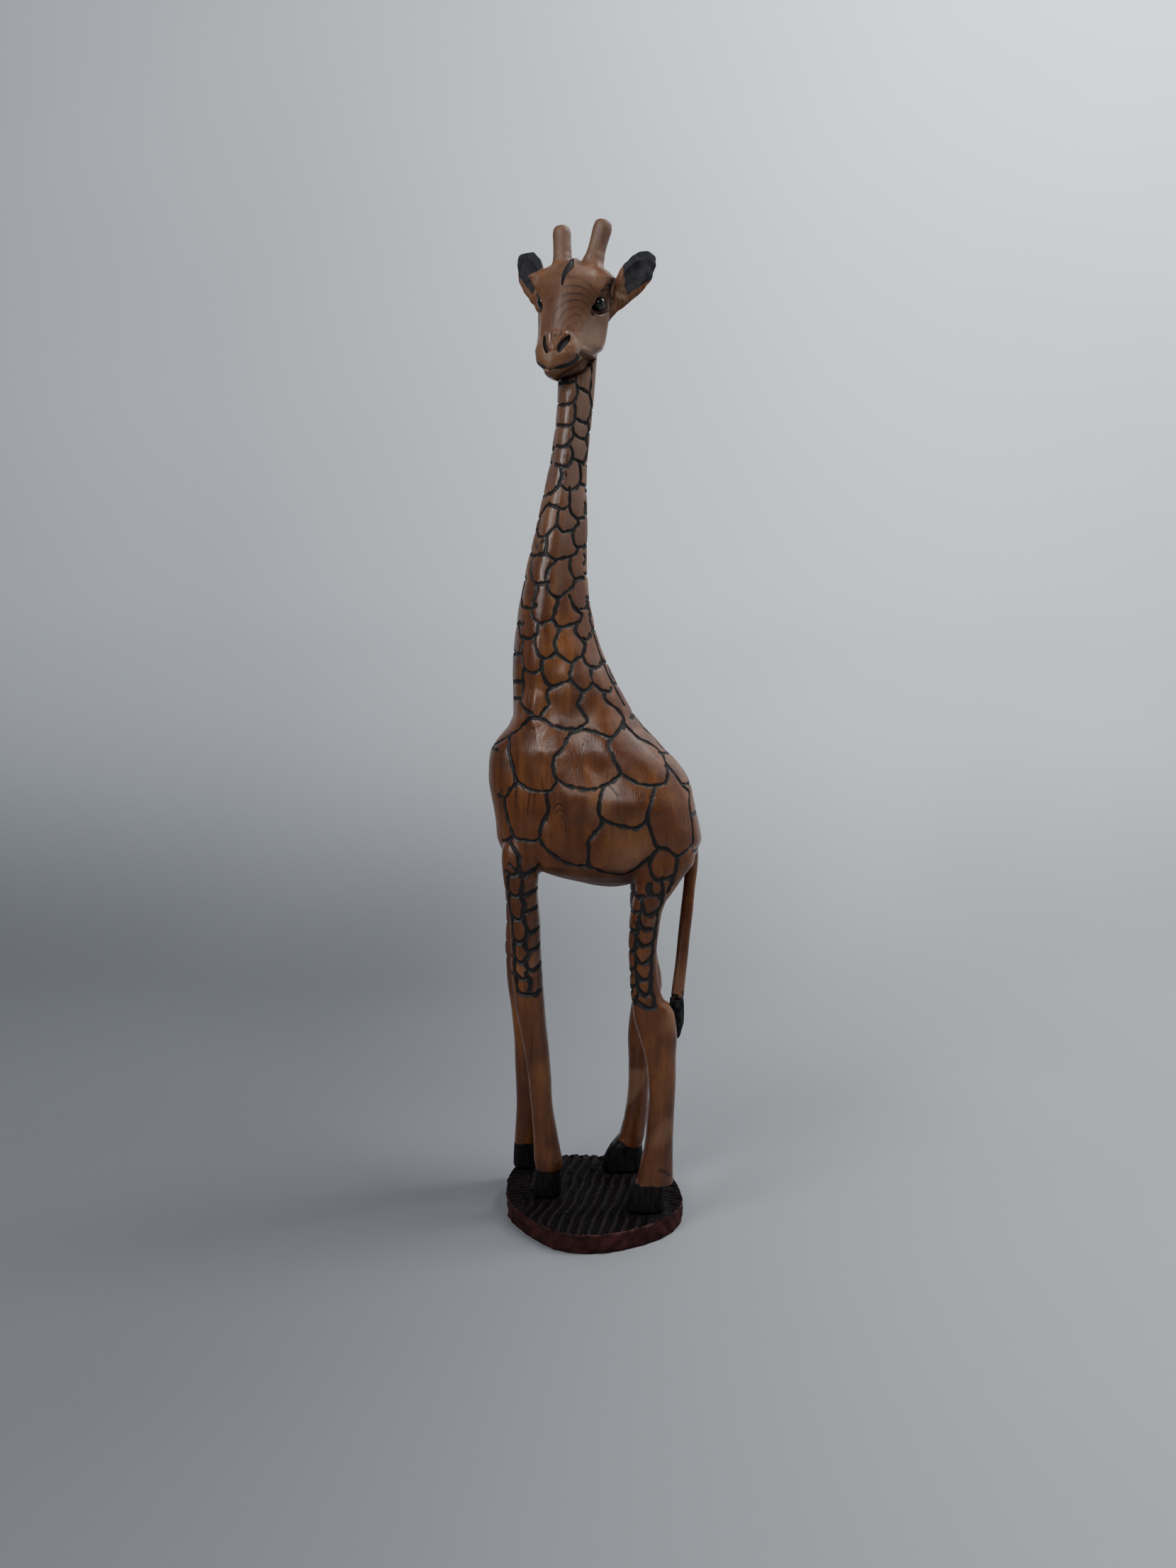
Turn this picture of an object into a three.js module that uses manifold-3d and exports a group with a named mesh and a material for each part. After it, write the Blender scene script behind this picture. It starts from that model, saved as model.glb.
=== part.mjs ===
// Carved giraffe statue, in millimetres, +Z up.
// The body lies along X with the chest towards -X and the tail towards +X.
// The statue's left side faces -Y, and its head is turned to look out over that side.
import * as THREE from "three";
import { mergeVertices } from "three/addons/utils/BufferGeometryUtils.js";
import Module from "manifold-3d";

const wasm = await Module();
wasm.setup();

// Driving dimensions.
const GAP = 0.3; // clearance between two members that touch
const BASE_TOP = 19.4; // height of the plinth that the hooves stand on
const HOOF_TOP = 45; // where the black hoof ends and the leg begins
const HIP = 308; // the legs end here, and short stumps of the body go on above
const COLLAR = 470; // foot of the neck
const TAIL_ROOT = 330; // the tail leaves the rump here
const TUFT_TOP = 214; // the tail's rod ends in its tuft here
const HEAD_AT = [-15.6, -0.5, 800]; // where the head turns on the neck
const HEAD_YAW = 18.7; // degrees from straight out over the left side towards the chest
const HEAD_ROLL = 6.8; // degrees, left side down
const THROAT_FRONT = [17, -40]; // the cut between head and neck, as [forward, up] of the head
const THROAT_REAR = [-17, 0];
const THROAT_FLOOR = 740; // below every part of that cut
const EAR_PIN_RADIUS = 3.5; // the round tenon that holds each ear
const EYE_RADIUS = 6.4;

const degrees = THREE.MathUtils.degToRad;

// Values that follow smoothly from one station to the next. The first column is the height.
function smooth(rows) {
  const width = rows[0].length - 1;
  const at = new THREE.CubicInterpolant(
    rows.map((row) => row[0]),
    rows.flatMap((row) => row.slice(1)),
    width,
    new Float32Array(width),
  );
  return (height) => Array.from(at.evaluate(height));
}

// Heights from low to high with every station among them and no step much over the given one.
function levels(low, high, step, stations = []) {
  const stops = [low, ...stations.filter((z) => z > low + 0.4 && z < high - 0.4), high];
  const heights = [low];
  for (let i = 1; i < stops.length; i += 1) {
    const parts = Math.max(1, Math.round((stops[i] - stops[i - 1]) / step));
    for (let k = 1; k <= parts; k += 1) {
      heights.push(THREE.MathUtils.lerp(stops[i - 1], stops[i], k / parts));
    }
  }
  return heights;
}

// A closed skin over rings of points, lowest ring first, each ring counter-clockwise from above.
function skin(rings) {
  const around = rings[0].length;
  const middle = (ring) =>
    ring.reduce((sum, p) => sum.add(p), new THREE.Vector3()).divideScalar(around);
  const points = [...rings.flat(), middle(rings[0]), middle(rings.at(-1))];
  const bottom = rings.length * around;
  const last = bottom - around;
  const index = [];
  for (let j = 0; j < around; j += 1) {
    const next = (j + 1) % around;
    for (let low = 0; low < last; low += around) {
      const high = low + around;
      index.push(low + j, low + next, high + next, low + j, high + next, high + j);
    }
    index.push(bottom, next, j, bottom + 1, last + j, last + next);
  }
  return new THREE.BufferGeometry().setFromPoints(points).setIndex(index);
}

// One rounded section: a superellipse, turned by `twist` and stretched to fill its box.
// `egg` makes its +X end wider, and `shear` slides its +X end towards +Y.
function section(z, box, shape, around) {
  const { power = 2.3, twist = 0, slim = 1, egg = 0, shear = 0 } = shape;
  const [x0, x1, y0, y1] = box;
  const turn = degrees(twist);
  const round = (v) => Math.sign(v) * Math.abs(v) ** (2 / power);
  const flat = [];
  for (let k = 0; k < around; k += 1) {
    const angle = (2 * Math.PI * k) / around;
    const a = round(Math.cos(angle));
    const b = slim * round(Math.sin(angle));
    flat.push([
      a * Math.cos(turn) - b * Math.sin(turn),
      a * Math.sin(turn) + b * Math.cos(turn),
    ]);
  }
  const reachX = Math.max(...flat.map(([a]) => Math.abs(a)));
  const reachY = Math.max(...flat.map(([, b]) => Math.abs(b)));
  return flat.map(([a, b]) => {
    const u = a / reachX;
    const v = (b / reachY) * (1 + egg * u);
    const x = (x0 + x1) / 2 + ((x1 - x0) / 2) * u;
    const y = (y0 + y1) / 2 + ((y1 - y0) / 2) * v + shear * u;
    return new THREE.Vector3(x, y, z);
  });
}

// Solids for the joins and cuts.
function solid(geometry) {
  const bare = geometry.clone();
  bare.deleteAttribute("normal");
  bare.deleteAttribute("uv");
  const merged = mergeVertices(bare, 1e-4);
  return new wasm.Manifold(
    new wasm.Mesh({
      numProp: 3,
      vertProperties: merged.attributes.position.array,
      triVerts: new Uint32Array(merged.index.array),
    }),
  );
}

function geometryOf(manifold) {
  const mesh = manifold.getMesh();
  const points = new Float32Array(mesh.numVert * 3);
  for (let i = 0; i < mesh.numVert; i += 1) {
    const from = i * mesh.numProp;
    points.set(mesh.vertProperties.subarray(from, from + 3), i * 3);
  }
  const made = new THREE.BufferGeometry();
  made.setAttribute("position", new THREE.BufferAttribute(points, 3));
  made.setIndex(new THREE.BufferAttribute(mesh.triVerts, 1));
  made.computeVertexNormals();
  return made;
}

// Finishes.
const finish = (color, roughness) =>
  new THREE.MeshStandardMaterial({ color, roughness, metalness: 0 });
const WOOD = () => finish(0x8a4a27, 0.38);
const BLACK = () => finish(0x1b1715, 0.6);
const PLINTH = () => finish(0x3a2223, 0.7);
const EYE = () => finish(0x141a12, 0.12);

const statue = new THREE.Group();

function add(name, geometry, material, parent = statue) {
  const mesh = new THREE.Mesh(geometry, material);
  mesh.name = name;
  parent.add(mesh);
  return mesh;
}

// Trunk: the torso from the belly up, going over into the neck without a break.
// Columns: height, chest or throat x, rump or nape x, half depth in y.
const TRUNK = [
  [312.6, 12, 28, 6],
  [315.4, -2, 39, 17],
  [321.4, -22, 53, 33],
  [329, -45, 66, 45],
  [337, -66, 83, 52],
  [347, -79, 99.5, 55],
  [371, -84.8, 101.2, 58],
  [391, -87.6, 97.3, 57],
  [411, -90.4, 92.6, 55],
  [421, -90.6, 87, 54],
  [430, -90.4, 79.6, 52],
  [440, -88.4, 69, 50],
  [450, -81, 59.6, 47],
  [460, -73, 50.2, 44],
  [470, -69, 42.3, 41.5],
  [507, -69, 22, 38],
  [546, -65.7, 6.7, 33],
  [584, -59, 0.3, 28.5],
  [640, -46.4, -0.6, 22.5],
  [696, -33.6, 0.4, 17.5],
  [751, -27.8, 5, 16.5],
  [800, -25.8, 9, 17.5],
  [830, -25, 11, 18],
];
// Columns: height, power, twist, slimness, egg, shear.
const TRUNK_FORM = [
  [312.6, 2.2, 0, 1, 0, 0],
  [346, 2.8, 0, 1, 0.06, -6],
  [411, 2.8, 0, 1, 0.08, -6],
  [470, 2.4, 0, 1, 0, -3],
  [546, 2.5, 20, 0.85, 0, 0],
  [640, 2.6, 30, 0.8, 0, 0],
  [751, 2.4, 50, 0.85, 0, 0],
  [830, 2.2, 65, 0.9, 0, 0],
];

function trunk(low, high, step, around) {
  const size = smooth(TRUNK);
  const form = smooth(TRUNK_FORM);
  const stations = TRUNK.map((row) => row[0]);
  return skin(
    levels(low, high, step, stations).map((z) => {
      const [front, back, depth] = size(z);
      const [power, twist, slim, egg, shear] = form(z);
      const shape = { power, twist, slim, egg, shear };
      return section(z, [front, back, -depth, depth], shape, around);
    }),
  );
}

// Legs. Columns: height, x, half width in x, y, half depth in y. The top rows lie in the body.
const LEGS = {
  front_left: [
    [45, -36.6, 12.6, -8.5, 11.5],
    [54, -37.6, 13, -9, 11.5],
    [74, -39.6, 11.3, -10, 11],
    [102, -42.4, 10.2, -12, 11],
    [158, -47.2, 11.2, -15, 12],
    [192, -52, 12.8, -17, 13],
    [236, -56, 14.2, -19, 14],
    [279, -57, 13.4, -21, 14.5],
    [308, -59.4, 14.4, -23, 16],
    [330, -60.5, 16.4, -23.5, 17.5],
    [352, -59, 18, -22, 17],
    [376, -52, 14, -16, 13],
    [395, -44, 9, -10, 9],
  ],
  front_right: [
    [45, -61.5, 11.6, 52, 11.5],
    [79, -60.3, 10.5, 50, 11],
    [137, -60.5, 11, 46, 11.5],
    [173, -62.2, 11.5, 44, 12],
    [220, -66.4, 12, 40, 13],
    [245, -67, 12.6, 38, 13.5],
    [265, -65.8, 12.6, 36, 13.5],
    [308, -65.6, 13.6, 32, 15],
    [330, -64.5, 15.4, 30, 17.5],
    [352, -61, 17, 27, 17],
    [376, -54, 13, 22, 13],
    [395, -46, 9, 16, 9],
  ],
  hind_left: [
    [45, 61.2, 16.8, -38.5, 12.5],
    [76, 64.4, 13, -38.5, 11.5],
    [100, 65.4, 12.2, -39, 11.5],
    [142, 66.6, 12.2, -40, 12.5],
    [165, 65, 14, -40, 13.5],
    [183, 63.2, 17.2, -39.5, 14],
    [197, 60.6, 18.8, -39, 14],
    [206, 59, 18.6, -38.6, 14],
    [211.5, 57, 16.8, -38.8, 13.6],
    [215, 53.8, 14.4, -39, 13],
    [222, 51.4, 13.2, -39, 12.8],
    [244, 48.8, 12.2, -39, 12.5],
    [286, 50.6, 13.6, -39, 15],
    [308, 55, 14.4, -38, 17.5],
    [320, 60.4, 18, -36, 20],
    [340, 68, 27, -32, 24],
    [366, 66, 26, -28, 24],
    [395, 50, 14, -16, 14],
  ],
  hind_right: [
    [45, 38.5, 15, 45, 12],
    [54, 43.4, 12.4, 45.2, 11.4],
    [70, 47, 11, 45.5, 11],
    [109, 50, 10.2, 46, 11],
    [152, 51.6, 12, 47, 12.5],
    [175, 54, 12.6, 48, 13],
    [205, 58.6, 13.6, 49, 13.5],
    [244, 54.4, 12, 49, 12.5],
    [286, 54, 13, 47, 15],
    [308, 54, 14, 44, 17.5],
    [320, 58, 18, 40, 20],
    [340, 68, 26, 34, 22],
    [366, 66, 26, 28, 22],
    [395, 50, 14, 16, 14],
  ],
};
const LEG_AROUND = 18;
const LEG_FORM = { power: 2.7 };

function leg(rows, low, high, step, grow = 0) {
  const size = smooth(rows);
  const stations = rows.map((row) => row[0]);
  return skin(
    levels(low, high, step, stations).map((z) => {
      const [x, wide, y, deep] = size(z);
      const box = [x - wide - grow, x + wide + grow, y - deep - grow, y + deep + grow];
      return section(z, box, LEG_FORM, LEG_AROUND);
    }),
  );
}

// Hooves: sole on the plinth. Columns as for the legs.
const HOOVES = {
  front_left: [
    [19, -38, 12.6, -8, 12.4],
    [30, -38, 12.2, -8, 12],
    [45, -37.8, 11.4, -8.5, 11],
  ],
  front_right: [
    [19, -62, 12.4, 53.5, 12.5],
    [30, -61.8, 12.2, 53, 12.2],
    [45, -61.5, 11.6, 52, 11.5],
  ],
  hind_left: [
    [19, 52, 17.6, -38.5, 13.4],
    [30, 53, 17, -38.5, 13],
    [45, 57.4, 14.2, -38.5, 12],
  ],
  hind_right: [
    [19, 33.6, 20.4, 45, 13],
    [30, 34.6, 19.4, 45, 12.8],
    [45, 38.5, 15, 45, 12],
  ],
};

// Tail: a free rod from the rump down to the tuft that lies against the left hind leg.
// Columns: height, x, half width in x, y, half depth in y.
const TAIL = [
  [177, 79.4, 2.5, -30, 2.5],
  [183, 79.8, 4.8, -30, 5],
  [193, 80, 6.6, -29.5, 6.6],
  [205, 80, 7, -28.5, 6.2],
  [215, 81.2, 5.6, -27.5, 5.5],
  [231, 83.2, 5.3, -25, 5.2],
  [272, 88.2, 5.5, -17, 5.3],
  [312, 92.6, 5.6, -10, 5.5],
  [330, 94.4, 5.8, -7.5, 6.2],
  [345, 94, 7, -6, 9],
  [366, 90, 8, -5, 10],
];

// Head, in its own frame: +X the way it faces, +Y its left, +Z up, from the point it turns on.
// Half outlines in plan, as [forward, sideways]: nose, front corner, cheek, back of cheek, poll
// corner, poll.
const HEAD = [
  [-39.5, [31, 0], [29.5, 4], [26, 6.5], [21, 6], [18, 4], [17, 0]],
  [-36, [36.5, 0], [34.5, 9], [27, 13], [20, 13], [15, 9], [13, 0]],
  [-28, [38.6, 0], [36.2, 12.5], [28, 18.6], [18, 18.5], [11, 14], [7, 0]],
  [-20, [39.6, 0], [37, 13], [28, 19.8], [12, 21], [4, 17], [-1, 0]],
  [-14, [39, 0], [36.8, 11.5], [27, 19.4], [7, 24], [-3, 20], [-8, 0]],
  [-7, [36.6, 0], [34.6, 9.5], [25, 18.6], [2, 30.4], [-10, 25], [-14, 0]],
  [0, [34.2, 0], [32.2, 8.6], [23, 17.8], [0, 31.2], [-14, 25], [-18, 0]],
  [15, [31.6, 0], [29.6, 8.4], [20, 19], [-1, 31.8], [-17, 25], [-22, 0]],
  [29, [31.4, 0], [28.6, 9.5], [18, 24], [-1, 32.5], [-17, 25], [-23, 0]],
  [40, [30.8, 0], [26.5, 13], [17, 33], [0, 35], [-16, 26], [-23, 0]],
  [48, [28.6, 0], [23.5, 15], [13.4, 40], [-1, 35], [-15, 25], [-22, 0]],
  [55, [24, 0], [18.5, 13.5], [9, 30], [-3, 29], [-13, 20], [-19, 0]],
  [61, [16.5, 0], [12, 9], [5, 18], [-5, 18], [-10, 12], [-13, 0]],
  [64, [9, 0], [7, 4.5], [3, 8.5], [-3, 8.5], [-6, 5], [-7, 0]],
];
const HEAD_AROUND = 36;
const FACE_TENSION = 0.32; // low, so that the cheeks stay flat planes with crisp edges

// The head's skin, or with `grow` a skin that lies that much outside it.
function headSkin(grow = 0) {
  const size = smooth(HEAD.map(([z, ...points]) => [z, ...points.flat()]));
  const stations = HEAD.map((row) => row[0]);
  const low = stations[0];
  const high = stations.at(-1);
  const rings = levels(low, high, 8, stations).map((z) => {
    const flat = size(z);
    const middle = (flat[0] + flat.at(-2)) / 2;
    const height = z + grow * (Number(z === high) - Number(z === low));
    const half = [];
    for (let i = 0; i < flat.length; i += 2) {
      const out = new THREE.Vector2(flat[i] - middle, flat[i + 1]);
      out.setLength(out.length() + grow);
      half.push(new THREE.Vector3(middle + out.x, out.y, height));
    }
    const mirrored = half.slice(1, -1).reverse();
    const right = mirrored.map((p) => new THREE.Vector3(p.x, -p.y, p.z));
    const outline = new THREE.CatmullRomCurve3([...half, ...right], true, "catmullrom", FACE_TENSION);
    return outline.getPoints(HEAD_AROUND).slice(0, -1);
  });
  return skin(rings);
}

// Nested groups that turn the head: first the yaw about the neck, then the roll about the muzzle.
const turned = new THREE.Group();
turned.position.set(...HEAD_AT);
turned.rotation.z = degrees(-90 - HEAD_YAW);
const head = new THREE.Group();
head.rotation.x = degrees(-HEAD_ROLL);
turned.add(head);
statue.add(turned);
turned.updateMatrixWorld(true);
const toHead = head.matrixWorld.clone().invert();

// A bar lofted along a straight line from `foot` to `tip`, with its thin way facing `front`.
// Rows: distance from the foot, half width, half thickness.
function bar(foot, tip, front, rows, around, power, step) {
  const along = tip.clone().sub(foot).normalize();
  const face = front.clone().addScaledVector(along, -front.dot(along)).normalize();
  const side = new THREE.Vector3().crossVectors(along, face);
  const place = new THREE.Matrix4().makeBasis(face, side, along).setPosition(foot);
  const size = smooth(rows);
  const stations = rows.map((row) => row[0]);
  const rings = levels(stations[0], stations.at(-1), step, stations).map((z) => {
    const [wide, thick] = size(z);
    return section(z, [-thick, thick, -wide, wide], { power }, around);
  });
  return { geometry: skin(rings).applyMatrix4(place), place };
}

// Ears: leaves hollowed in front, each held by a round tenon that runs in sideways.
// Side is 1 for the left ear and -1 for the right, which is carved to stand out a little more.
const EAR_LEAF = [
  [-7, 5, 4],
  [0, 5.6, 4.2],
  [10, 7.4, 4.2],
  [22, 11.2, 4],
  [35, 13.6, 3.6],
  [47, 12.8, 3.4],
  [56, 9.8, 3],
  [61, 6.4, 2.4],
  [62, 5, 2],
];
const EAR_HOLLOW = { thick: 5, wide: 9.8, long: 23, out: 5.6, up: 34 };

function ear(side) {
  const foot = new THREE.Vector3(-6, side * 31, 26);
  const tip = new THREE.Vector3(-20, side * 58.6 - 2, 77 - side);
  const front = new THREE.Vector3(1, side * 0.25, 0);
  const leaf = bar(foot, tip, front, EAR_LEAF, 18, 2.2, 8);
  const hollow = new THREE.SphereGeometry(1, 16, 8);
  hollow.scale(EAR_HOLLOW.thick, EAR_HOLLOW.wide, EAR_HOLLOW.long);
  hollow.translate(EAR_HOLLOW.out, 0, EAR_HOLLOW.up);
  hollow.applyMatrix4(leaf.place);
  return solid(leaf.geometry).subtract(solid(hollow));
}

function earPin(side, grow = 0) {
  const inner = new THREE.Vector3(-8, side * (20 - grow), 25);
  const outer = new THREE.Vector3(-8, side * 36.5, 31);
  const radius = EAR_PIN_RADIUS + grow;
  const ends = [0, inner.distanceTo(outer)].map((along) => [along, radius, radius]);
  return solid(bar(inner, outer, new THREE.Vector3(1, 0, 0), ends, 16, 2, 20).geometry);
}

// Horns: short blunt posts that spread where they leave the forehead. The left one is longer.
const HORN = [
  [0, 11.5, 10],
  [5, 9.2, 8.4],
  [12, 7.4, 7],
  [24, 7.2, 6.8],
  [32, 7.6, 7],
  [36.4, 6.6, 6.2],
  [38, 4.6, 4.4],
];

function horn(side) {
  const foot = new THREE.Vector3(1.8, side * 13.4, 59 + side);
  const tip = new THREE.Vector3(-1.9, side * 19.4, 97.5 + 2.5 * side);
  const rows = HORN.map(([along, ...sizes]) => [along * (1 + 0.035 * side), ...sizes]);
  return solid(bar(foot, tip, new THREE.Vector3(1, 0, 0), rows, 16, 2.4, 8).geometry);
}

function eyeball(side, radius) {
  const ball = new THREE.SphereGeometry(radius, 14, 8);
  return solid(ball.translate(7.2, side * 25.6, 28.6));
}

// Plinth: an uneven round slab with a straight chamfer at its front left.
const PLINTH_OUTLINE = [
  [-76.6, -8],
  [-71, -30],
  [-50, -60],
  [-31, -78],
  [-8, -86.5],
  [20, -84],
  [50, -71],
  [74, -52],
  [87.6, -28],
  [87.6, 5],
  [79, 38],
  [57, 63],
  [15, 77],
  [-31, 77],
  [-63, 64],
  [-77.6, 34],
];
const PLINTH_BEVEL = 1.6;

function plinth() {
  const points = PLINTH_OUTLINE.map(([x, y]) => new THREE.Vector3(x, y, 0));
  const rim = new THREE.CatmullRomCurve3(points, true, "centripetal");
  const shape = new THREE.Shape(
    rim.getPoints(PLINTH_OUTLINE.length * 3).map((p) => new THREE.Vector2(p.x, p.y)),
  );
  const slab = new THREE.ExtrudeGeometry(shape, {
    depth: BASE_TOP - 2 * PLINTH_BEVEL,
    bevelThickness: PLINTH_BEVEL,
    bevelSize: PLINTH_BEVEL,
    bevelOffset: -PLINTH_BEVEL,
    bevelSegments: 2,
  });
  return slab.translate(0, 0, PLINTH_BEVEL);
}

// Base.
add("base", plinth(), PLINTH());

// Legs and hooves. The stumps above the hips belong to the body.
const stumps = [];
for (const [place, rows] of Object.entries(LEGS)) {
  add(`leg_${place}`, leg(rows, HOOF_TOP + GAP / 2, HIP - GAP / 2, 14), WOOD());
  add(`hoof_${place}`, leg(HOOVES[place], BASE_TOP + GAP, HOOF_TOP - GAP / 2, 9), BLACK());
  stumps.push(solid(leg(rows, HIP + GAP / 2, rows.at(-1)[0], 14)));
}

// Tail and its tuft, which is hollowed where it lies against the leg.
add("tail", leg(TAIL, TUFT_TOP + GAP / 2, TAIL_ROOT - GAP / 2, 12), WOOD());
const besideTuft = solid(leg(LEGS.hind_left, HOOF_TOP, HIP, 14, GAP));
const tuft = solid(leg(TAIL, TAIL[0][0], TUFT_TOP - GAP / 2, 7)).subtract(besideTuft);
add("tail_tuft", geometryOf(tuft), BLACK());

// Body: the torso with the stumps of the legs and the root of the tail.
const torso = solid(trunk(TRUNK[0][0], COLLAR - GAP / 2, 14, 44));
const dock = solid(leg(TAIL, TAIL_ROOT + GAP / 2, TAIL.at(-1)[0], 12));
const body = [...stumps, dock].reduce((sum, piece) => sum.add(piece), torso);
add("body", geometryOf(body), WOOD());

// Neck and head meet in the throat cut.
const rise = new THREE.Vector2(THROAT_REAR[0] - THROAT_FRONT[0], THROAT_REAR[1] - THROAT_FRONT[1]);
const throat = new THREE.Plane().setFromNormalAndCoplanarPoint(
  new THREE.Vector3(rise.y, 0, -rise.x).normalize(),
  new THREE.Vector3(THROAT_FRONT[0], 0, THROAT_FRONT[1]),
);
const throatHere = throat.clone().applyMatrix4(head.matrixWorld);
const poll = TRUNK.at(-1)[0];
const column = solid(trunk(COLLAR + GAP / 2, poll, 19, 32)).trimByPlane(
  throatHere.normal.clone().negate().toArray(),
  throatHere.constant + GAP / 2,
);
add("neck", geometryOf(column), WOOD());

const nape = solid(trunk(THROAT_FLOOR, poll, 19, 32).applyMatrix4(toHead));
let skull = solid(headSkin())
  .add(nape)
  .trimByPlane(throat.normal.toArray(), GAP / 2 - throat.constant);
const crust = solid(headSkin(1.5 * GAP));
for (const [name, side] of [["left", 1], ["right", -1]]) {
  skull = skull.subtract(earPin(side, GAP)).subtract(eyeball(side, EYE_RADIUS + GAP));
  const rootedEar = ear(side).subtract(crust).add(earPin(side));
  add(`ear_${name}`, geometryOf(rootedEar), BLACK(), head);
  add(`horn_${name}`, geometryOf(horn(side).subtract(crust)), WOOD(), head);
  add(`eye_${name}`, geometryOf(eyeball(side, EYE_RADIUS)), EYE(), head);
}
add("head", geometryOf(skull), WOOD(), head);

export default statue;
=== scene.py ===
"""Looks of the carved giraffe statue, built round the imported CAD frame. Metres, +Z up."""

import math

import bmesh
import bpy
import numpy as np
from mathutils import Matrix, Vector
from mathutils.bvhtree import BVHTree
from mathutils.kdtree import KDTree


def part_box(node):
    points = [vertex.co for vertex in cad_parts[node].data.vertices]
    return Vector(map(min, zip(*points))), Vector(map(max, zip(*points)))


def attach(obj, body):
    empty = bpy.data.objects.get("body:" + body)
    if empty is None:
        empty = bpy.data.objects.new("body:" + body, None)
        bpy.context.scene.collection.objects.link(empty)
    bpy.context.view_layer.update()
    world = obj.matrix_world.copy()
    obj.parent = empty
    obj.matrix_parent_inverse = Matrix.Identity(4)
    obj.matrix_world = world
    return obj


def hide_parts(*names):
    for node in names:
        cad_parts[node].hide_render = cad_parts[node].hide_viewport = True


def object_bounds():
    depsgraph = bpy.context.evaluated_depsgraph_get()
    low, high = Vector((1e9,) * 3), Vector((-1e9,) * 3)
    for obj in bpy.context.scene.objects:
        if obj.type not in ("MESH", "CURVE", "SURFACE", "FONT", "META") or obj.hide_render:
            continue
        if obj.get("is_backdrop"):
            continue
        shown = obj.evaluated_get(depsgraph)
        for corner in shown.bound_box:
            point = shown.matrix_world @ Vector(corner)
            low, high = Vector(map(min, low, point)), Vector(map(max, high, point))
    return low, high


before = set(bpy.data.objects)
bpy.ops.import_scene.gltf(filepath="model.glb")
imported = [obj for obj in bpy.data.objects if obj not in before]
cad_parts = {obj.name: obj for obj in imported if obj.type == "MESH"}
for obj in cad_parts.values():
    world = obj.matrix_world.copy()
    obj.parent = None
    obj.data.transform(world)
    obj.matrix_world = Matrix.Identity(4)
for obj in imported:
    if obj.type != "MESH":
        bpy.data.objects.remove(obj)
cad_low, cad_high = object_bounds()

MM = 0.001
JOIN_VOXEL = 1.5 * MM  # first mesh over the joined members
FINE_VOXEL = 1.0 * MM  # carved mesh of trunk and legs
FACE_VOXEL = 0.7 * MM  # carved mesh of the head
GROW = 0.25 * MM  # closes the clearance between members before they are joined
NEAR_CUT = 4 * MM  # faces this near a cut are tried against it

# Where the single carving is divided into its members.
HOOF_TOP = 45 * MM
HIP = 308 * MM
TAIL_ROOT = 330 * MM
TUFT_TOP = 200 * MM  # the tail rod reaches down to here
COLLAR = 470 * MM
HORN_FOOT = 66  # in the head's own frame, mm

# The head's own frame: forward, towards its left, up.
HEAD_AT = np.array([-15.6, -0.5, 800.0]) * MM
HEAD_YAW = math.radians(18.7)
HEAD_ROLL = math.radians(6.8)
FORWARD = np.array([-math.sin(HEAD_YAW), -math.cos(HEAD_YAW), 0.0])
SIDEWAYS = np.array([math.cos(HEAD_YAW), -math.sin(HEAD_YAW), 0.0])
UP = np.array([0.0, 0.0, 1.0])
LEFTWARD = SIDEWAYS * math.cos(HEAD_ROLL) - UP * math.sin(HEAD_ROLL)
CROWNWARD = UP * math.cos(HEAD_ROLL) + SIDEWAYS * math.sin(HEAD_ROLL)


# ---------------------------------------------------------------- meshes as arrays


def arrays(mesh):
    """Vertices and triangles or quads of a mesh."""
    co = np.empty(len(mesh.vertices) * 3)
    mesh.vertices.foreach_get("co", co)
    return co.reshape(-1, 3), [tuple(p.vertices) for p in mesh.polygons]


def halved(quads):
    """Each quad as two triangles."""
    return np.concatenate([quads[:, [0, 1, 2]], quads[:, [0, 2, 3]]])


def new_object(name, co, faces):
    mesh = bpy.data.meshes.new(name)
    mesh.from_pydata(co.tolist(), [], faces)
    obj = bpy.data.objects.new(name, mesh)
    bpy.context.scene.collection.objects.link(obj)
    return obj


def grown(name, by):
    """Welded vertices and faces of a CAD node, pushed outwards a little."""
    bm = bmesh.new()
    bm.from_mesh(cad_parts[name].data)
    bmesh.ops.remove_doubles(bm, verts=bm.verts, dist=1e-6)
    bm.normal_update()
    bm.verts.index_update()
    co = np.array([v.co + v.normal * by for v in bm.verts])
    faces = [tuple(v.index for v in f.verts) for f in bm.faces]
    bm.free()
    return co, faces


def joined(parts):
    """Several (vertices, faces) pairs as one."""
    co, faces, start = [], [], 0
    for c, f in parts:
        co.append(c)
        faces += [tuple(i + start for i in face) for face in f]
        start += len(c)
    return np.concatenate(co), faces


def remeshed(co, faces, voxel):
    """One even skin of quads over closed, overlapping bodies."""
    obj = new_object("work", co, faces)
    modifier = obj.modifiers.new("skin", "REMESH")
    modifier.mode = "VOXEL"
    modifier.voxel_size = voxel
    graph = bpy.context.evaluated_depsgraph_get()
    mesh = obj.evaluated_get(graph).to_mesh()
    co = np.empty(len(mesh.vertices) * 3)
    mesh.vertices.foreach_get("co", co)
    co = co.reshape(-1, 3)
    quads = np.empty(len(mesh.loops), int)
    mesh.loops.foreach_get("vertex_index", quads)
    quads = quads.reshape(-1, 4)
    bpy.data.objects.remove(obj)
    return largest(co, quads)


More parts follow.
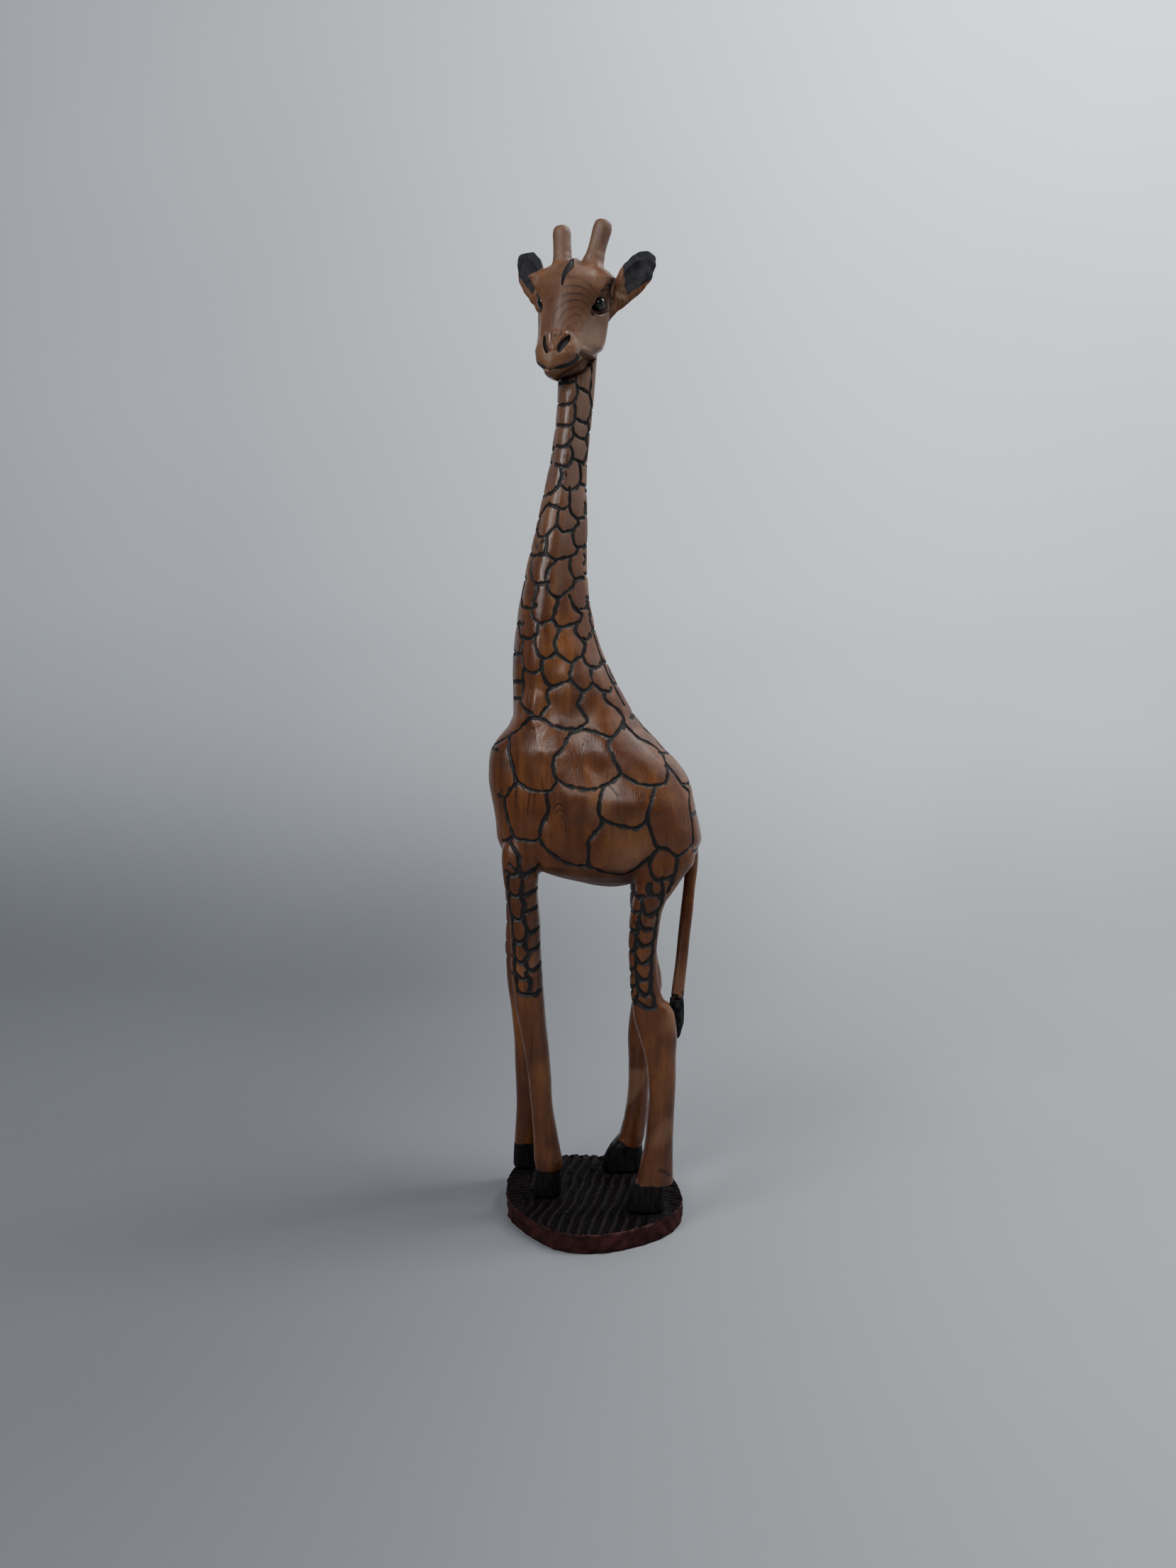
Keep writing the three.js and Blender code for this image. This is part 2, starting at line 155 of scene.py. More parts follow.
def largest(co, quads):
    """Keeps the biggest connected piece of a quad mesh."""
    label = np.arange(len(co))
    while True:
        low = label[quads].min(1)
        new = label.copy()
        for k in range(4):
            np.minimum.at(new, quads[:, k], low)
        new = new[new]
        if (new == label).all():
            break
        label = new
    names, counts = np.unique(label, return_counts=True)
    keep = label == names[counts.argmax()]
    index = np.cumsum(keep) - 1
    return co[keep], index[quads[keep[quads[:, 0]]]]


def neighbours(quads, count):
    """Both ends of every edge, and how many neighbours each vertex has."""
    a = np.concatenate([quads[:, k] for k in range(4)])
    b = np.concatenate([quads[:, (k + 1) % 4] for k in range(4)])
    pair = np.unique(np.sort(np.stack([a, b], 1), 1), axis=0)
    ends = np.concatenate([pair, pair[:, ::-1]])
    return ends, np.bincount(ends[:, 0], minlength=count)


def smoothed(co, quads, weight, rounds, backward=0.0):
    """Laplacian smoothing by `weight`, with an optional backward step that keeps the volume."""
    ends, degree = neighbours(quads, len(co))
    weight = np.broadcast_to(weight, len(co))[:, None]
    for _ in range(rounds):
        for step in (1.0, -backward):
            if step == 0.0:
                continue
            mean = np.stack([np.bincount(ends[:, 0], co[ends[:, 1], k], len(co)) for k in range(3)], 1)
            co = co + step * weight * (mean / degree[:, None] - co)
    return co


def vertex_normals(co, faces):
    """Area-weighted normals of a mesh whose faces all have the same number of corners."""
    tri = faces[:, :3]
    n = np.cross(co[tri[:, 1]] - co[tri[:, 0]], co[tri[:, 2]] - co[tri[:, 0]])
    if faces.shape[1] == 4:
        n += np.cross(co[faces[:, 2]] - co[faces[:, 0]], co[faces[:, 3]] - co[faces[:, 0]])
    total = np.zeros((len(co), 3))
    for k in range(faces.shape[1]):
        for axis in range(3):
            total[:, axis] += np.bincount(faces[:, k], n[:, axis], len(co))
    return total / np.maximum(np.linalg.norm(total, axis=1), 1e-12)[:, None]


def waves(p, length, seed, count=14):
    """Smooth noise of about unit size that varies over `length` metres."""
    rng = np.random.default_rng(seed)
    k = rng.normal(size=(count, 3))
    size = np.linalg.norm(k, axis=1, keepdims=True)
    k *= (2 * math.pi / length) * rng.uniform(0.6, 1.6, (count, 1)) / size
    phase = rng.uniform(0, 2 * math.pi, count)
    return np.sin(p @ k.T + phase).sum(1) / math.sqrt(count / 2)


def ramp(x, low, high):
    """0 below low, 1 above high, smooth between. Low may be above high."""
    t = np.clip((x - low) / (high - low), 0, 1)
    return t * t * (3 - 2 * t)


def blended(a, b, c, d, t):
    """Catmull-Rom curve from b to c, at shares t of the way."""
    return 0.5 * (2 * b + (c - a) * t + (2 * a - 5 * b + 4 * c - d) * t**2 + (3 * b - a - 3 * c + d) * t**3)


def curve(points, step):
    """Points spaced by about `step` on a smooth curve through the given ones."""
    p = np.array(points, float)
    if len(p) == 2:
        count = max(2, int(np.linalg.norm(p[1] - p[0]) / step) + 1)
        return p[0] + np.linspace(0, 1, count)[:, None] * (p[1] - p[0])
    padded = np.concatenate([[2 * p[0] - p[1]], p, [2 * p[-1] - p[-2]]])
    out = []
    for a, b, c, d in zip(padded[:-3], padded[1:-2], padded[2:-1], padded[3:]):
        count = max(2, int(np.linalg.norm(c - b) / step) + 1)
        out.append(blended(a, b, c, d, np.linspace(0, 1, count, endpoint=False)[:, None]))
    return np.concatenate([*out, p[-1:]])


def head_frame(co):
    """Positions in the head's own frame, in millimetres."""
    r = (co - HEAD_AT) / MM
    return np.stack([r @ FORWARD, r @ LEFTWARD, r @ CROWNWARD], 1)


# ---------------------------------------------------------------- the joined carving

LEGS = ("front_left", "front_right", "hind_left", "hind_right")
MEMBERS = ["body", "neck", "head", "horn_left", "horn_right", "tail"]
MEMBERS += [f"{part}_{leg}" for part in ("leg", "hoof") for leg in LEGS]



def on_tail(x, z):
    """Whether points belong to the tail rod, which leans away from the hind legs."""
    return (z < TAIL_ROOT) & (x > 0.076 + (z - 0.214) * 0.1) & (z > TUFT_TOP)


rough_co, rough_quads = remeshed(*joined([grown(n, GROW) for n in MEMBERS]), JOIN_VOXEL)
height = rough_co[:, 2]
# The joins of legs, body and tail are blended more than the rest, and the head least.
blend = ramp(height, 0.285, 0.31) * ramp(height, 0.40, 0.35)
slim = on_tail(rough_co[:, 0], height)
even = np.where(slim, 0.2, 0.55 * ramp(height, 0.77, 0.74))
rough_co = smoothed(rough_co, rough_quads, even, 8, 0.95)
rough_co = smoothed(rough_co, rough_quads, 0.5 * blend * ~slim, 6, 0.6)
trunk = ramp(height, 0.335, 0.36) * ramp(height, 0.76, 0.72)
# The ledge of the chest under the throat stays sharp.
ledge = ramp(rough_co[:, 0], -0.045, -0.058) * ramp(height, 0.428, 0.44) * ramp(height, 0.50, 0.48)
rough_co = smoothed(rough_co, rough_quads, 0.6 * trunk * (1 - ledge), 34, 0.97)
rough_co = smoothed(rough_co, rough_quads, 0.35 * ramp(height, 0.74, 0.77), 3, 0.9)
# The forehead rounds evenly back to the crown between the brows.
crown = head_frame(rough_co)
even = ramp(abs(crown[:, 1]), 24, 16) * ramp(crown[:, 2], 34, 42) * (crown[:, 0] > -4)
rough_co = smoothed(rough_co, rough_quads, 0.55 * even * ramp(crown[:, 2], 66, 62), 16, 0.5)


def planes_inserted(co, quads, planes):
    """The mesh with edge loops along the given planes, as vertices and triangles."""
    bm = bmesh.new()
    verts = [bm.verts.new(c) for c in co]
    for q in quads:
        bm.faces.new([verts[i] for i in q])
    bm.verts.ensure_lookup_table()
    for point, normal, near in planes:
        faces = [f for f in bm.faces if near(f.verts[0].co)]
        edges = {e for f in faces for e in f.edges}
        corners = {v for f in faces for v in f.verts}
        bmesh.ops.bisect_plane(
            bm,
            geom=[*corners, *edges, *faces],
            dist=1e-5,
            plane_co=Vector(point),
            plane_no=Vector(normal),
        )
    bmesh.ops.triangulate(bm, faces=bm.faces)
    bm.verts.index_update()
    co = np.array([v.co for v in bm.verts])
    tri = np.array([[v.index for v in f.verts] for f in bm.faces])
    bm.free()
    return co, tri


def level(z, least_x=-1.0):
    """A level cut at height z, tried only on faces near it."""
    return (0, 0, z), UP, lambda c: abs(c.z - z) < NEAR_CUT and c.x > least_x


def slanted(point, normal, least_z=-1.0):
    """A cut along a plane, tried only on faces near it."""
    return point, normal, lambda c: c.z > least_z and abs((np.array(c) - point) @ normal) < NEAR_CUT


# The throat: a plane from low in front to the nape, in the head's own frame.
THROAT_FRONT = np.array([17.0, -40.0])
THROAT_REAR = np.array([-17.0, 0.0])
throat_run = THROAT_REAR - THROAT_FRONT
throat_up = np.array([throat_run[1], -throat_run[0]])
throat_up /= np.linalg.norm(throat_up)
throat_normal = throat_up[0] * FORWARD + throat_up[1] * CROWNWARD
throat_point = HEAD_AT + (THROAT_FRONT[0] * FORWARD + THROAT_FRONT[1] * CROWNWARD) * MM


def above_throat(co):
    return (co - throat_point) @ throat_normal


# ---------------------------------------------------------------- burnt net of the giraffe's coat

# Lines on the near flank, each as points (across, height): across is 0 at the chest or throat edge
# and 1 at the back edge of the trunk at that height, and height is in mm. The far flank repeats them.
COAT = [
    # top of the neck
    [(0.08, 760.5), (0.3, 760), (0.47, 760.5), (0.557, 757.5), (0.572, 753), (0.552, 747), (0.504, 744)],
    [(0.893, 752.3), (0.91, 755.5), (0.94, 761.5), (0.955, 770), (0.96, 777)],
    [(0.52, 760.5), (0.56, 767), (0.66, 769), (0.78, 774), (0.86, 776)],
    [(0.515, 740), (0.563, 734), (0.557, 728), (0.513, 724)],
    [(0.53, 721), (0.565, 716), (0.548, 712), (0.45, 706)],
    [(0.51, 704.5), (0.592, 699), (0.58, 694), (0.516, 689.5), (0.474, 687)],
    [(0.085, 742), (0.235, 741), (0.39, 741), (0.505, 743.5)],
    [(0.085, 725), (0.24, 723), (0.39, 722.5), (0.5, 723.5)],
    [(0.125, 706.5), (0.265, 705), (0.41, 705)],
    [(0.175, 690), (0.3, 688), (0.474, 687)],
    [(0.308, 686.5), (0.387, 681), (0.374, 675.5), (0.345, 671)],
    [(0.1, 664.5), (0.224, 666.5), (0.324, 669.5)],
    [(0.38, 673), (0.474, 669), (0.59, 667.3), (0.766, 671.5), (0.84, 681), (0.765, 693.3)],
    [(0.595, 755.5), (0.752, 753.7), (0.893, 752.3)],
    [(0.564, 729.5), (0.709, 727.7), (0.875, 726.7)],
    [(0.59, 715.4), (0.725, 713.7), (0.855, 713)],
    [(0.62, 694.7), (0.754, 693.5), (0.887, 692.3)],
    [(0.9, 751), (0.963, 745), (0.954, 734), (0.912, 729.5), (0.955, 723), (0.91, 714)],
    [(0.91, 714), (0.96, 705), (0.938, 698.5), (0.886, 693.3)],
    [(0.84, 674), (1.0, 673.5)],
    # middle of the neck
    [(0.139, 666), (0.165, 665), (0.252, 668), (0.28, 669.5)],
    [(0.6, 670), (0.62, 663), (0.628, 654.3)],
    [(0.175, 656), (0.267, 654), (0.37, 653), (0.507, 650.7), (0.627, 654)],
    [(0.634, 653), (0.682, 648.6), (0.743, 645.7), (0.824, 643.5), (0.95, 645)],
    [(0.824, 643.5), (0.836, 639), (0.785, 636.3), (0.751, 633.4)],
    [(0.06, 632.7), (0.12, 628.3), (0.235, 627.6), (0.352, 633), (0.437, 635.2), (0.568, 630.5)],
    [(0.568, 630.5), (0.655, 632.3), (0.743, 633.4)],
    [(0.442, 650.7), (0.434, 643), (0.44, 637)],
    [(0.175, 656), (0.122, 653), (0.055, 648), (0.039, 643), (0.054, 634)],
    [(0.253, 627), (0.281, 622.7), (0.294, 618.4), (0.292, 614)],
    [(0.022, 614), (0.082, 611.6), (0.274, 612), (0.329, 611.6), (0.433, 607.3), (0.502, 605.5)],
    [(0.502, 605.5), (0.54, 607.3), (0.646, 609), (0.782, 611.6), (0.844, 617.2)],
    [(0.744, 632.7), (0.743, 627.6), (0.771, 622.6), (0.844, 617.2)],
    [(0.84, 618.4), (0.9, 619), (0.96, 619.2)],
    [(0.502, 605.5), (0.411, 600.4), (0.365, 590.7), (0.378, 587.2)],
    [(0.085, 611), (0.075, 606), (0.082, 600), (0.113, 594.3), (0.17, 588), (0.2245, 585.4)],
    [(0.2245, 585.4), (0.32, 585.7), (0.409, 586.8)],
    [(0.409, 586.8), (0.405, 581.4), (0.453, 577), (0.56, 573.4), (0.661, 578), (0.766, 584.3)],
    [(0.766, 584.3), (0.789, 589), (0.828, 590.7), (0.935, 592.3)],
    [(0.828, 590.7), (0.779, 593), (0.718, 602.2), (0.734, 610)],
    [(0.2245, 585.4), (0.242, 580.6), (0.202, 570.6), (0.207, 566.3)],
    [(0.102, 566.3), (0.173, 564.7), (0.244, 567)],
    [(0.025, 594), (0.017, 582.5), (0.023, 575.6), (0.051, 568.4), (0.1, 565.5)],
    [(0.56, 573.4), (0.548, 568.4), (0.519, 563.9), (0.508, 560), (0.492, 556), (0.512, 552.5)],
    [(0.714, 575.6), (0.737, 571.3), (0.765, 566.3), (0.82, 562.4), (0.871, 558.7)],
    [(0.869, 564.5), (0.919, 564.8), (0.965, 567), (0.98, 572.8)],
    # foot of the neck
    [(0.187, 563.5), (0.206, 559), (0.239, 555), (0.295, 552.5)],
    [(0.304, 551), (0.363, 551.3), (0.423, 553.3), (0.484, 554), (0.512, 552.5), (0.544, 548.5)],
    [(0.544, 548.5), (0.602, 548.5), (0.703, 550), (0.798, 552.5), (0.848, 556.5), (0.869, 560.5)],
    [(0.304, 550.5), (0.295, 543), (0.263, 540.5), (0.255, 535), (0.27, 529), (0.296, 524)],
    [(0.296, 524), (0.32, 522), (0.345, 521)],
    [(0.033, 552), (0.057, 547), (0.083, 541), (0.124, 538.5)],
    [(0.104, 540), (0.16, 538.5), (0.214, 539), (0.295, 541.8)],
    [(0.125, 537.5), (0.109, 531.5), (0.104, 525.5), (0.117, 517.5), (0.15, 511.5), (0.19, 508.5)],
    [(0.19, 508.5), (0.236, 507.8), (0.273, 509.8), (0.311, 510.5)],
    [(0.345, 521), (0.323, 516), (0.319, 510.5), (0.33, 504), (0.356, 499), (0.394, 496.3)],
    [(0.328, 521.5), (0.377, 520.3), (0.435, 523), (0.487, 525), (0.563, 520), (0.629, 516.8)],
    [(0.565, 546), (0.533, 540.5), (0.495, 536), (0.49, 531), (0.504, 525.5)],
    [(0.771, 550), (0.754, 544.5), (0.803, 536.5), (0.825, 533.8), (0.804, 528.3), (0.752, 522)],
    [(0.629, 516.8), (0.675, 519), (0.72, 521.5), (0.752, 522)],
    [(0.827, 538.5), (0.859, 537.5), (0.904, 540), (0.922, 542)],
    [(0.77, 522), (0.78, 516.8), (0.837, 512.5), (0.895, 513.8), (0.937, 516.5)],
    [(0.635, 516.3), (0.61, 511), (0.58, 504.3), (0.616, 495.5), (0.652, 492.2), (0.699, 493.5)],
    [(0.699, 493.5), (0.75, 497.6), (0.777, 499), (0.827, 492.8), (0.9, 492), (0.925, 495)],
    [(0.815, 512.5), (0.807, 510.5), (0.79, 505), (0.78, 499.5)],
    [(0.394, 496.3), (0.437, 497), (0.487, 499.5), (0.54, 501), (0.58, 502)],
    [(0.394, 496.3), (0.335, 490.8), (0.332, 480.5), (0.301, 477), (0.265, 473.8), (0.245, 470)],
    [(0.15, 511.5), (0.123, 509.8), (0.115, 499.5), (0.096, 489.5), (0.078, 482.5), (0.099, 478.5)],
    [(0.099, 478.5), (0.135, 475), (0.177, 472.5)],
    [(0.112, 462.3), (0.143, 465.6), (0.175, 469), (0.259, 468.4), (0.325, 463.8), (0.4, 460)],
    [(0.4, 460), (0.492, 459), (0.535, 460.6), (0.579, 463.8), (0.606, 467), (0.592, 475)],
    [(0.592, 475), (0.572, 479.2), (0.577, 482), (0.612, 486), (0.652, 492.2)],
    [(0.861, 492.8), (0.833, 488), (0.832, 483.3), (0.883, 477), (0.897, 469), (0.845, 460)],
    [(0.01, 552), (0.1, 552)],
    [(0.01, 524.5), (0.1, 525)],
    [(0.01, 500), (0.11, 500.5)],
    [(0.01, 485), (0.075, 485.5)],
    [(0.965, 560), (0.968, 540), (0.96, 516), (0.966, 480)],
    # shoulder, flank and rump
    [(0.112, 462.3), (0.09, 457), (0.066, 453.5), (0.025, 447), (0.0, 443)],
    [(0.066, 453), (0.103, 443), (0.129, 432), (0.145, 415), (0.163, 411.5), (0.187, 408.3)],
    [(0.187, 408.3), (0.222, 405.7), (0.299, 405.3), (0.325, 409), (0.35, 414.5)],
    [(0.35, 414.5), (0.347, 423.4), (0.369, 434.7), (0.41, 440.8), (0.456, 453), (0.491, 458)],
    [(0.352, 417), (0.399, 411), (0.499, 408), (0.549, 409.8), (0.592, 412.8), (0.674, 420.8)],
    [(0.496, 458.3), (0.579, 459), (0.643, 456.5), (0.727, 452.5), (0.783, 456.5), (0.879, 466)],
    [(0.727, 452.5), (0.693, 446.3), (0.681, 437.6), (0.677, 429.7), (0.675, 422)],
    [(0.675, 421.5), (0.732, 413.3), (0.782, 411.3), (0.831, 411.5), (0.879, 415), (0.924, 427)],
    [(0.876, 463), (0.907, 451), (0.95, 446), (0.963, 438), (0.936, 428.5), (0.947, 409.5)],
    [(0.947, 409.5), (0.973, 404), (0.961, 392), (0.955, 376.5), (0.945, 358.5)],
    [(0.566, 411), (0.549, 403.5), (0.521, 388), (0.531, 383), (0.563, 378.6), (0.657, 374.2)],
    [(0.657, 374.2), (0.699, 374.8), (0.746, 381.7)],
    [(0.813, 411), (0.795, 403.5), (0.751, 388), (0.745, 380.4), (0.762, 361.7), (0.785, 356.4)],
    [(0.785, 356.4), (0.823, 355), (0.875, 348.5), (0.907, 351), (0.945, 358.5)],
    [(0.531, 383), (0.518, 375.5), (0.456, 363), (0.452, 355), (0.44, 341)],
    [(0.225, 361.5), (0.244, 354), (0.286, 347), (0.335, 342), (0.384, 339.5), (0.439, 339.7)],
    [(0.439, 339.7), (0.488, 336), (0.544, 333), (0.614, 331.5), (0.662, 335), (0.746, 348)],
    [(0.746, 348), (0.774, 354.5), (0.785, 356.4)],
    [(0.299, 405), (0.29, 403), (0.282, 389.5), (0.266, 382), (0.238, 374), (0.218, 363)],
    [(0.218, 363), (0.195, 360.4), (0.146, 361), (0.098, 363), (0.078, 376), (0.072, 386)],
    [(0.072, 386), (0.074, 393.5), (0.079, 398)],
    [(0.045, 399.5), (0.083, 398.5), (0.11, 405), (0.135, 409), (0.155, 412.5)],
    [(0.03, 358), (0.07, 360.5), (0.087, 362.5)],
    [(0.073, 359), (0.09, 351), (0.105, 344), (0.1, 337.5), (0.115, 329)],
    [(0.05, 339), (0.09, 333), (0.13, 330.5), (0.175, 335), (0.2, 339)],
    [(0.774, 354.5), (0.753, 347), (0.746, 339), (0.774, 328), (0.816, 328), (0.858, 331.5)],
    [(0.858, 331.5), (0.875, 337), (0.88, 346)],
    [(0.739, 324), (0.732, 318.5), (0.746, 314)],
    [(0.879, 344), (0.875, 336), (0.858, 326), (0.837, 317)],
]

# Crests where two broad planes meet, placed as the lines are.
NECK_CREST = [(0.325, 749.6), (0.421, 709.7), (0.436, 669.9), (0.38, 629.8), (0.375, 589.7)]
NECK_CREST += [(0.331, 548.9), (0.268, 508.8), (0.194, 470.9)]
SHOULDER_CREST = [(0.177, 470.9), (0.263, 451.4), (0.335, 432), (0.36, 414.9), (0.399, 399.7)]
FLANK_SWELL = [(0.36, 411), (0.465, 399.5), (0.613, 394), (0.758, 395.4), (0.9, 401)]

# Lines on the legs: across is 0 at the leg's front edge and 1 at its back edge.
FRONT_LEG = [
    [(0.41, 345), (0.44, 339.5), (0.42, 332), (0.547, 326), (0.52, 318.6), (0.49, 312), (0.54, 306)],
    [(0.54, 306), (0.56, 300), (0.49, 293.7), (0.535, 288), (0.587, 279), (0.515, 270.5)],
    [(0.515, 270.5), (0.48, 266), (0.585, 257), (0.505, 251), (0.49, 248.6), (0.566, 242)],
    [(0.566, 242), (0.536, 236), (0.63, 228.7), (0.59, 222)],
    [(0.02, 332), (0.12, 329.5), (0.25, 329), (0.36, 330.5), (0.42, 333)],
    [(0.1, 329.5), (0.06, 324), (0.08, 316), (0.18, 311), (0.34, 309.5), (0.49, 312)],
    [(0.12, 313), (0.06, 303), (0.08, 294), (0.2, 288.5), (0.36, 288), (0.49, 291)],
    [(0.12, 291), (0.08, 282), (0.1, 273), (0.22, 267.5), (0.38, 267), (0.5, 270)],
    [(0.14, 270), (0.1, 261), (0.13, 254), (0.25, 248.5), (0.4, 248), (0.5, 251)],
    [(0.17, 251), (0.13, 244), (0.17, 237.5), (0.3, 233), (0.43, 232.5), (0.53, 235)],
    [(0.2, 235), (0.17, 228), (0.2, 221)],
    [(0.547, 326), (0.7, 330), (0.93, 334)],
    [(0.49, 312), (0.64, 310.5), (0.83, 313), (0.99, 316)],
    [(0.49, 293.7), (0.66, 295), (0.82, 297.5), (0.95, 299)],
    [(0.587, 276), (0.75, 275.5), (0.88, 278), (0.98, 280)],
    [(0.57, 258.5), (0.7, 259), (0.87, 261.5), (0.98, 264)],
    [(0.57, 241), (0.75, 241), (0.88, 243), (1.0, 247)],
    [(0.2, 219.5), (0.35, 218), (0.58, 217.5), (0.78, 218.5), (0.95, 222)],
]
HIND_LEG = [
    [(0.5, 324), (0.465, 319), (0.53, 314.6), (0.66, 313.5), (0.84, 315.5), (0.87, 322), (0.86, 329)],
    [(0.3, 312.6), (0.236, 308), (0.41, 298), (0.58, 296.3), (0.77, 298), (0.86, 305), (0.84, 315)],
    [(0.3, 297.4), (0.24, 293), (0.42, 283.7), (0.64, 282.7), (0.84, 284.8), (0.87, 291.8), (0.82, 298)],
    [(0.247, 281), (0.206, 276.6), (0.43, 268.2), (0.64, 268.2), (0.8, 271), (0.86, 277.7), (0.84, 285)],
    [(0.247, 266.6), (0.185, 261.3), (0.41, 252.3), (0.6, 252.8), (0.76, 256.3), (0.83, 263.4), (0.81, 271)],
    [(0.247, 251), (0.185, 246.6), (0.41, 237.2), (0.6, 237.2), (0.76, 240), (0.81, 248), (0.78, 256)],
    [(0.3, 237), (0.24, 231.3), (0.43, 223.4), (0.62, 224), (0.73, 228), (0.78, 234.5), (0.76, 240)],
    [(0.2, 222.8), (0.15, 218.5), (0.39, 211.8), (0.58, 212.4), (0.67, 216.3), (0.73, 221.8), (0.71, 228)],
    [(0.3, 297.4), (0.27, 300), (0.3, 303)],
    [(0.247, 281), (0.27, 284), (0.24, 289)],
    [(0.247, 266.6), (0.24, 270), (0.25, 273)],
    [(0.247, 251), (0.23, 254), (0.25, 257)],
    [(0.3, 237), (0.26, 239), (0.25, 242)],
    [(0.2, 222.8), (0.25, 225), (0.3, 227)],
    [(0.0, 314), (0.15, 312), (0.3, 312.5)],
    [(0.0, 299.5), (0.15, 298.5), (0.27, 299)],
    [(0.0, 282), (0.24, 281)],
    [(0.0, 263), (0.2, 261.5)],
    [(0.0, 246), (0.2, 246.5)],
    [(0.0, 230), (0.24, 231)],
    [(0.0, 216.5), (0.17, 217)],
]

BAR_EDGE = 0.452  # share of the trunk's depth, from its middle, at which the side nets end
# Heights, in mm, of the bars that tie both nets together over the back and across the throat.
BACK_BARS = (354, 384, 408, 440, 470, 496, 520, 546, 572, 598, 622, 646, 670, 694, 718, 742)
THROAT_BARS = (443, 524.5, 552, 594, 614, 633, 648, 666, 690, 706, 725, 742)
FRONT_TICKS = (312, 290, 270, 252, 236)  # short bars over the shin of each front leg
HIND_TICKS = (313, 298, 280, 262, 240, 225, 214)

# Half width and depth of the burnt lines.
COAT_LINE = (1.85 * MM, 1.2 * MM)
NECK_LINE = (1.6 * MM, 1.2 * MM)
BAR_LINE = (1.7 * MM, 1.2 * MM)
LEG_LINE = (2.3 * MM, 1.3 * MM)
TICK_LINE = (2.1 * MM, 1.0 * MM)
NECK_FROM = 0.6  # the lines are narrower above this height
TRUNK_SCALE = 90  # width in mm that spaces points along the trunk's lines
LEG_SCALE = 28


# ---------------------------------------------------------------- carving


def widths(node, least, upto=10.0, axis=0):
    """Least and greatest x (or y) of a member at any height, from the rings of its CAD mesh."""
    co, _ = arrays(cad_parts[node].data)
    rows = {}
    for point in np.unique(np.round(co, 5), axis=0):
        rows.setdefault(round(point[2], 4), []).append(point[axis])
    rings = sorted((z, min(at), max(at)) for z, at in rows.items() if len(at) >= least and z < upto)
    z, low, high = np.array(rings).T
    return z, low, high


def at_height(table, z):
    return np.interp(z, table[0], table[1]), np.interp(z, table[0], table[2])


TRUNK_RINGS = 24  # a ring of the trunk has at least this many points
LEG_RINGS = 14
THROAT_CLEAR = 755 * MM  # trunk rings above this are cut by the throat
LEG_TOP = HIP - 1 * MM  # a leg's lines keep the width it has here where they run up over the hip
FAR = 0.3  # rays start this far out
WIDEST = 347 * MM  # below this the belly rounds off, and its lines keep the width it has here
body_widths = widths("body", TRUNK_RINGS)
neck_widths = widths("neck", TRUNK_RINGS, THROAT_CLEAR)
body_depths = widths("body", TRUNK_RINGS, axis=1)
neck_depths = widths("neck", TRUNK_RINGS, THROAT_CLEAR, axis=1)


def trunk_x(across, z):
    table = body_widths if z < COLLAR else neck_widths
    low, high = at_height(table, max(z, WIDEST))
    return low + across * (high - low)


class Lines:
    """Points along every carved line, with the line's half width and depth there."""

    def __init__(self, tree):
        self.tree = tree
        self.points = []
        self.half = []
        self.depth = []

    def cast(self, start, direction, line, reach=1.0, wanted=lambda hit: True):
        """Adds the point where a ray meets the surface, if there is one and it is wanted."""
        hit = self.tree.ray_cast(Vector(start), Vector(direction), reach)[0]
        if hit is not None and wanted(hit):
            self.points.append(hit)
            self.half.append(line[0])
            self.depth.append(line[1])

    def cast_side(self, x, z, side, line):
        """Adds the point at x and z on one side of the statue."""
        self.cast((x, side * FAR, z), (0, -side, 0), line)

    def search(self):
        """A tree that finds the nearest point."""
        kd = KDTree(len(self.points))
        for i, p in enumerate(self.points):
            kd.insert(p, i)
        kd.balance()
        return kd


def dense(flat, x_scale):
    """A smooth curve through (across, mm) points, at about half a millimetre between points."""
    p = np.array(flat, float) * [x_scale, 1.0]
    return curve(p, 0.5) / [x_scale, 1.0]


def net_lines(lines):
    """The coat's net on both sides of the trunk. The right side's is shifted a little."""
    for number, flat in enumerate(COAT):
        for side in (-1, 1):
            shift = 0.0 if side < 0 else 2.5 * math.sin(1.7 * number)
            for across, z in dense(flat, TRUNK_SCALE):
                if side > 0:
                    across = across + 0.02 * math.sin(0.11 * z)
                z = (z + shift) * MM
                lines.cast_side(trunk_x(across, z), z, side, NECK_LINE if z > NECK_FROM else COAT_LINE)


def bar_lines(lines):
    """Bars over the back and across the throat, and the short lines that tie the back's bars."""

    def cast_along(side, t, z):
        """A point seen from behind (side 1) or from the chest (side -1), at share t of the half depth."""
        low, high = at_height(body_depths if z * MM < COLLAR else neck_depths, z * MM)
        front, middle, back = (trunk_x(across, z * MM) for across in (0.0, 0.5, 1.0))
        lines.cast(
            (side * FAR, (low + high + t * (high - low)) / 2, z * MM),
            (-side, 0, 0),
            BAR_LINE,
            wanted=lambda hit: side * (hit.x - middle) > BAR_EDGE * (back - front),
        )

    for side, bars in ((1, BACK_BARS), (-1, THROAT_BARS)):
        for number, z in enumerate(bars):
            for t in np.linspace(-0.9, 0.9, 130):
                cast_along(side, t, z + 3.0 * math.sin(3.1 * t + 1.9 * number))
    for number, (low, high) in enumerate(zip(BACK_BARS, BACK_BARS[1:])):
        for z in np.arange(low, high, 0.5):
            cast_along(1, (0.3 + 0.08 * math.sin(0.4 * z)) * (-1) ** number, z)


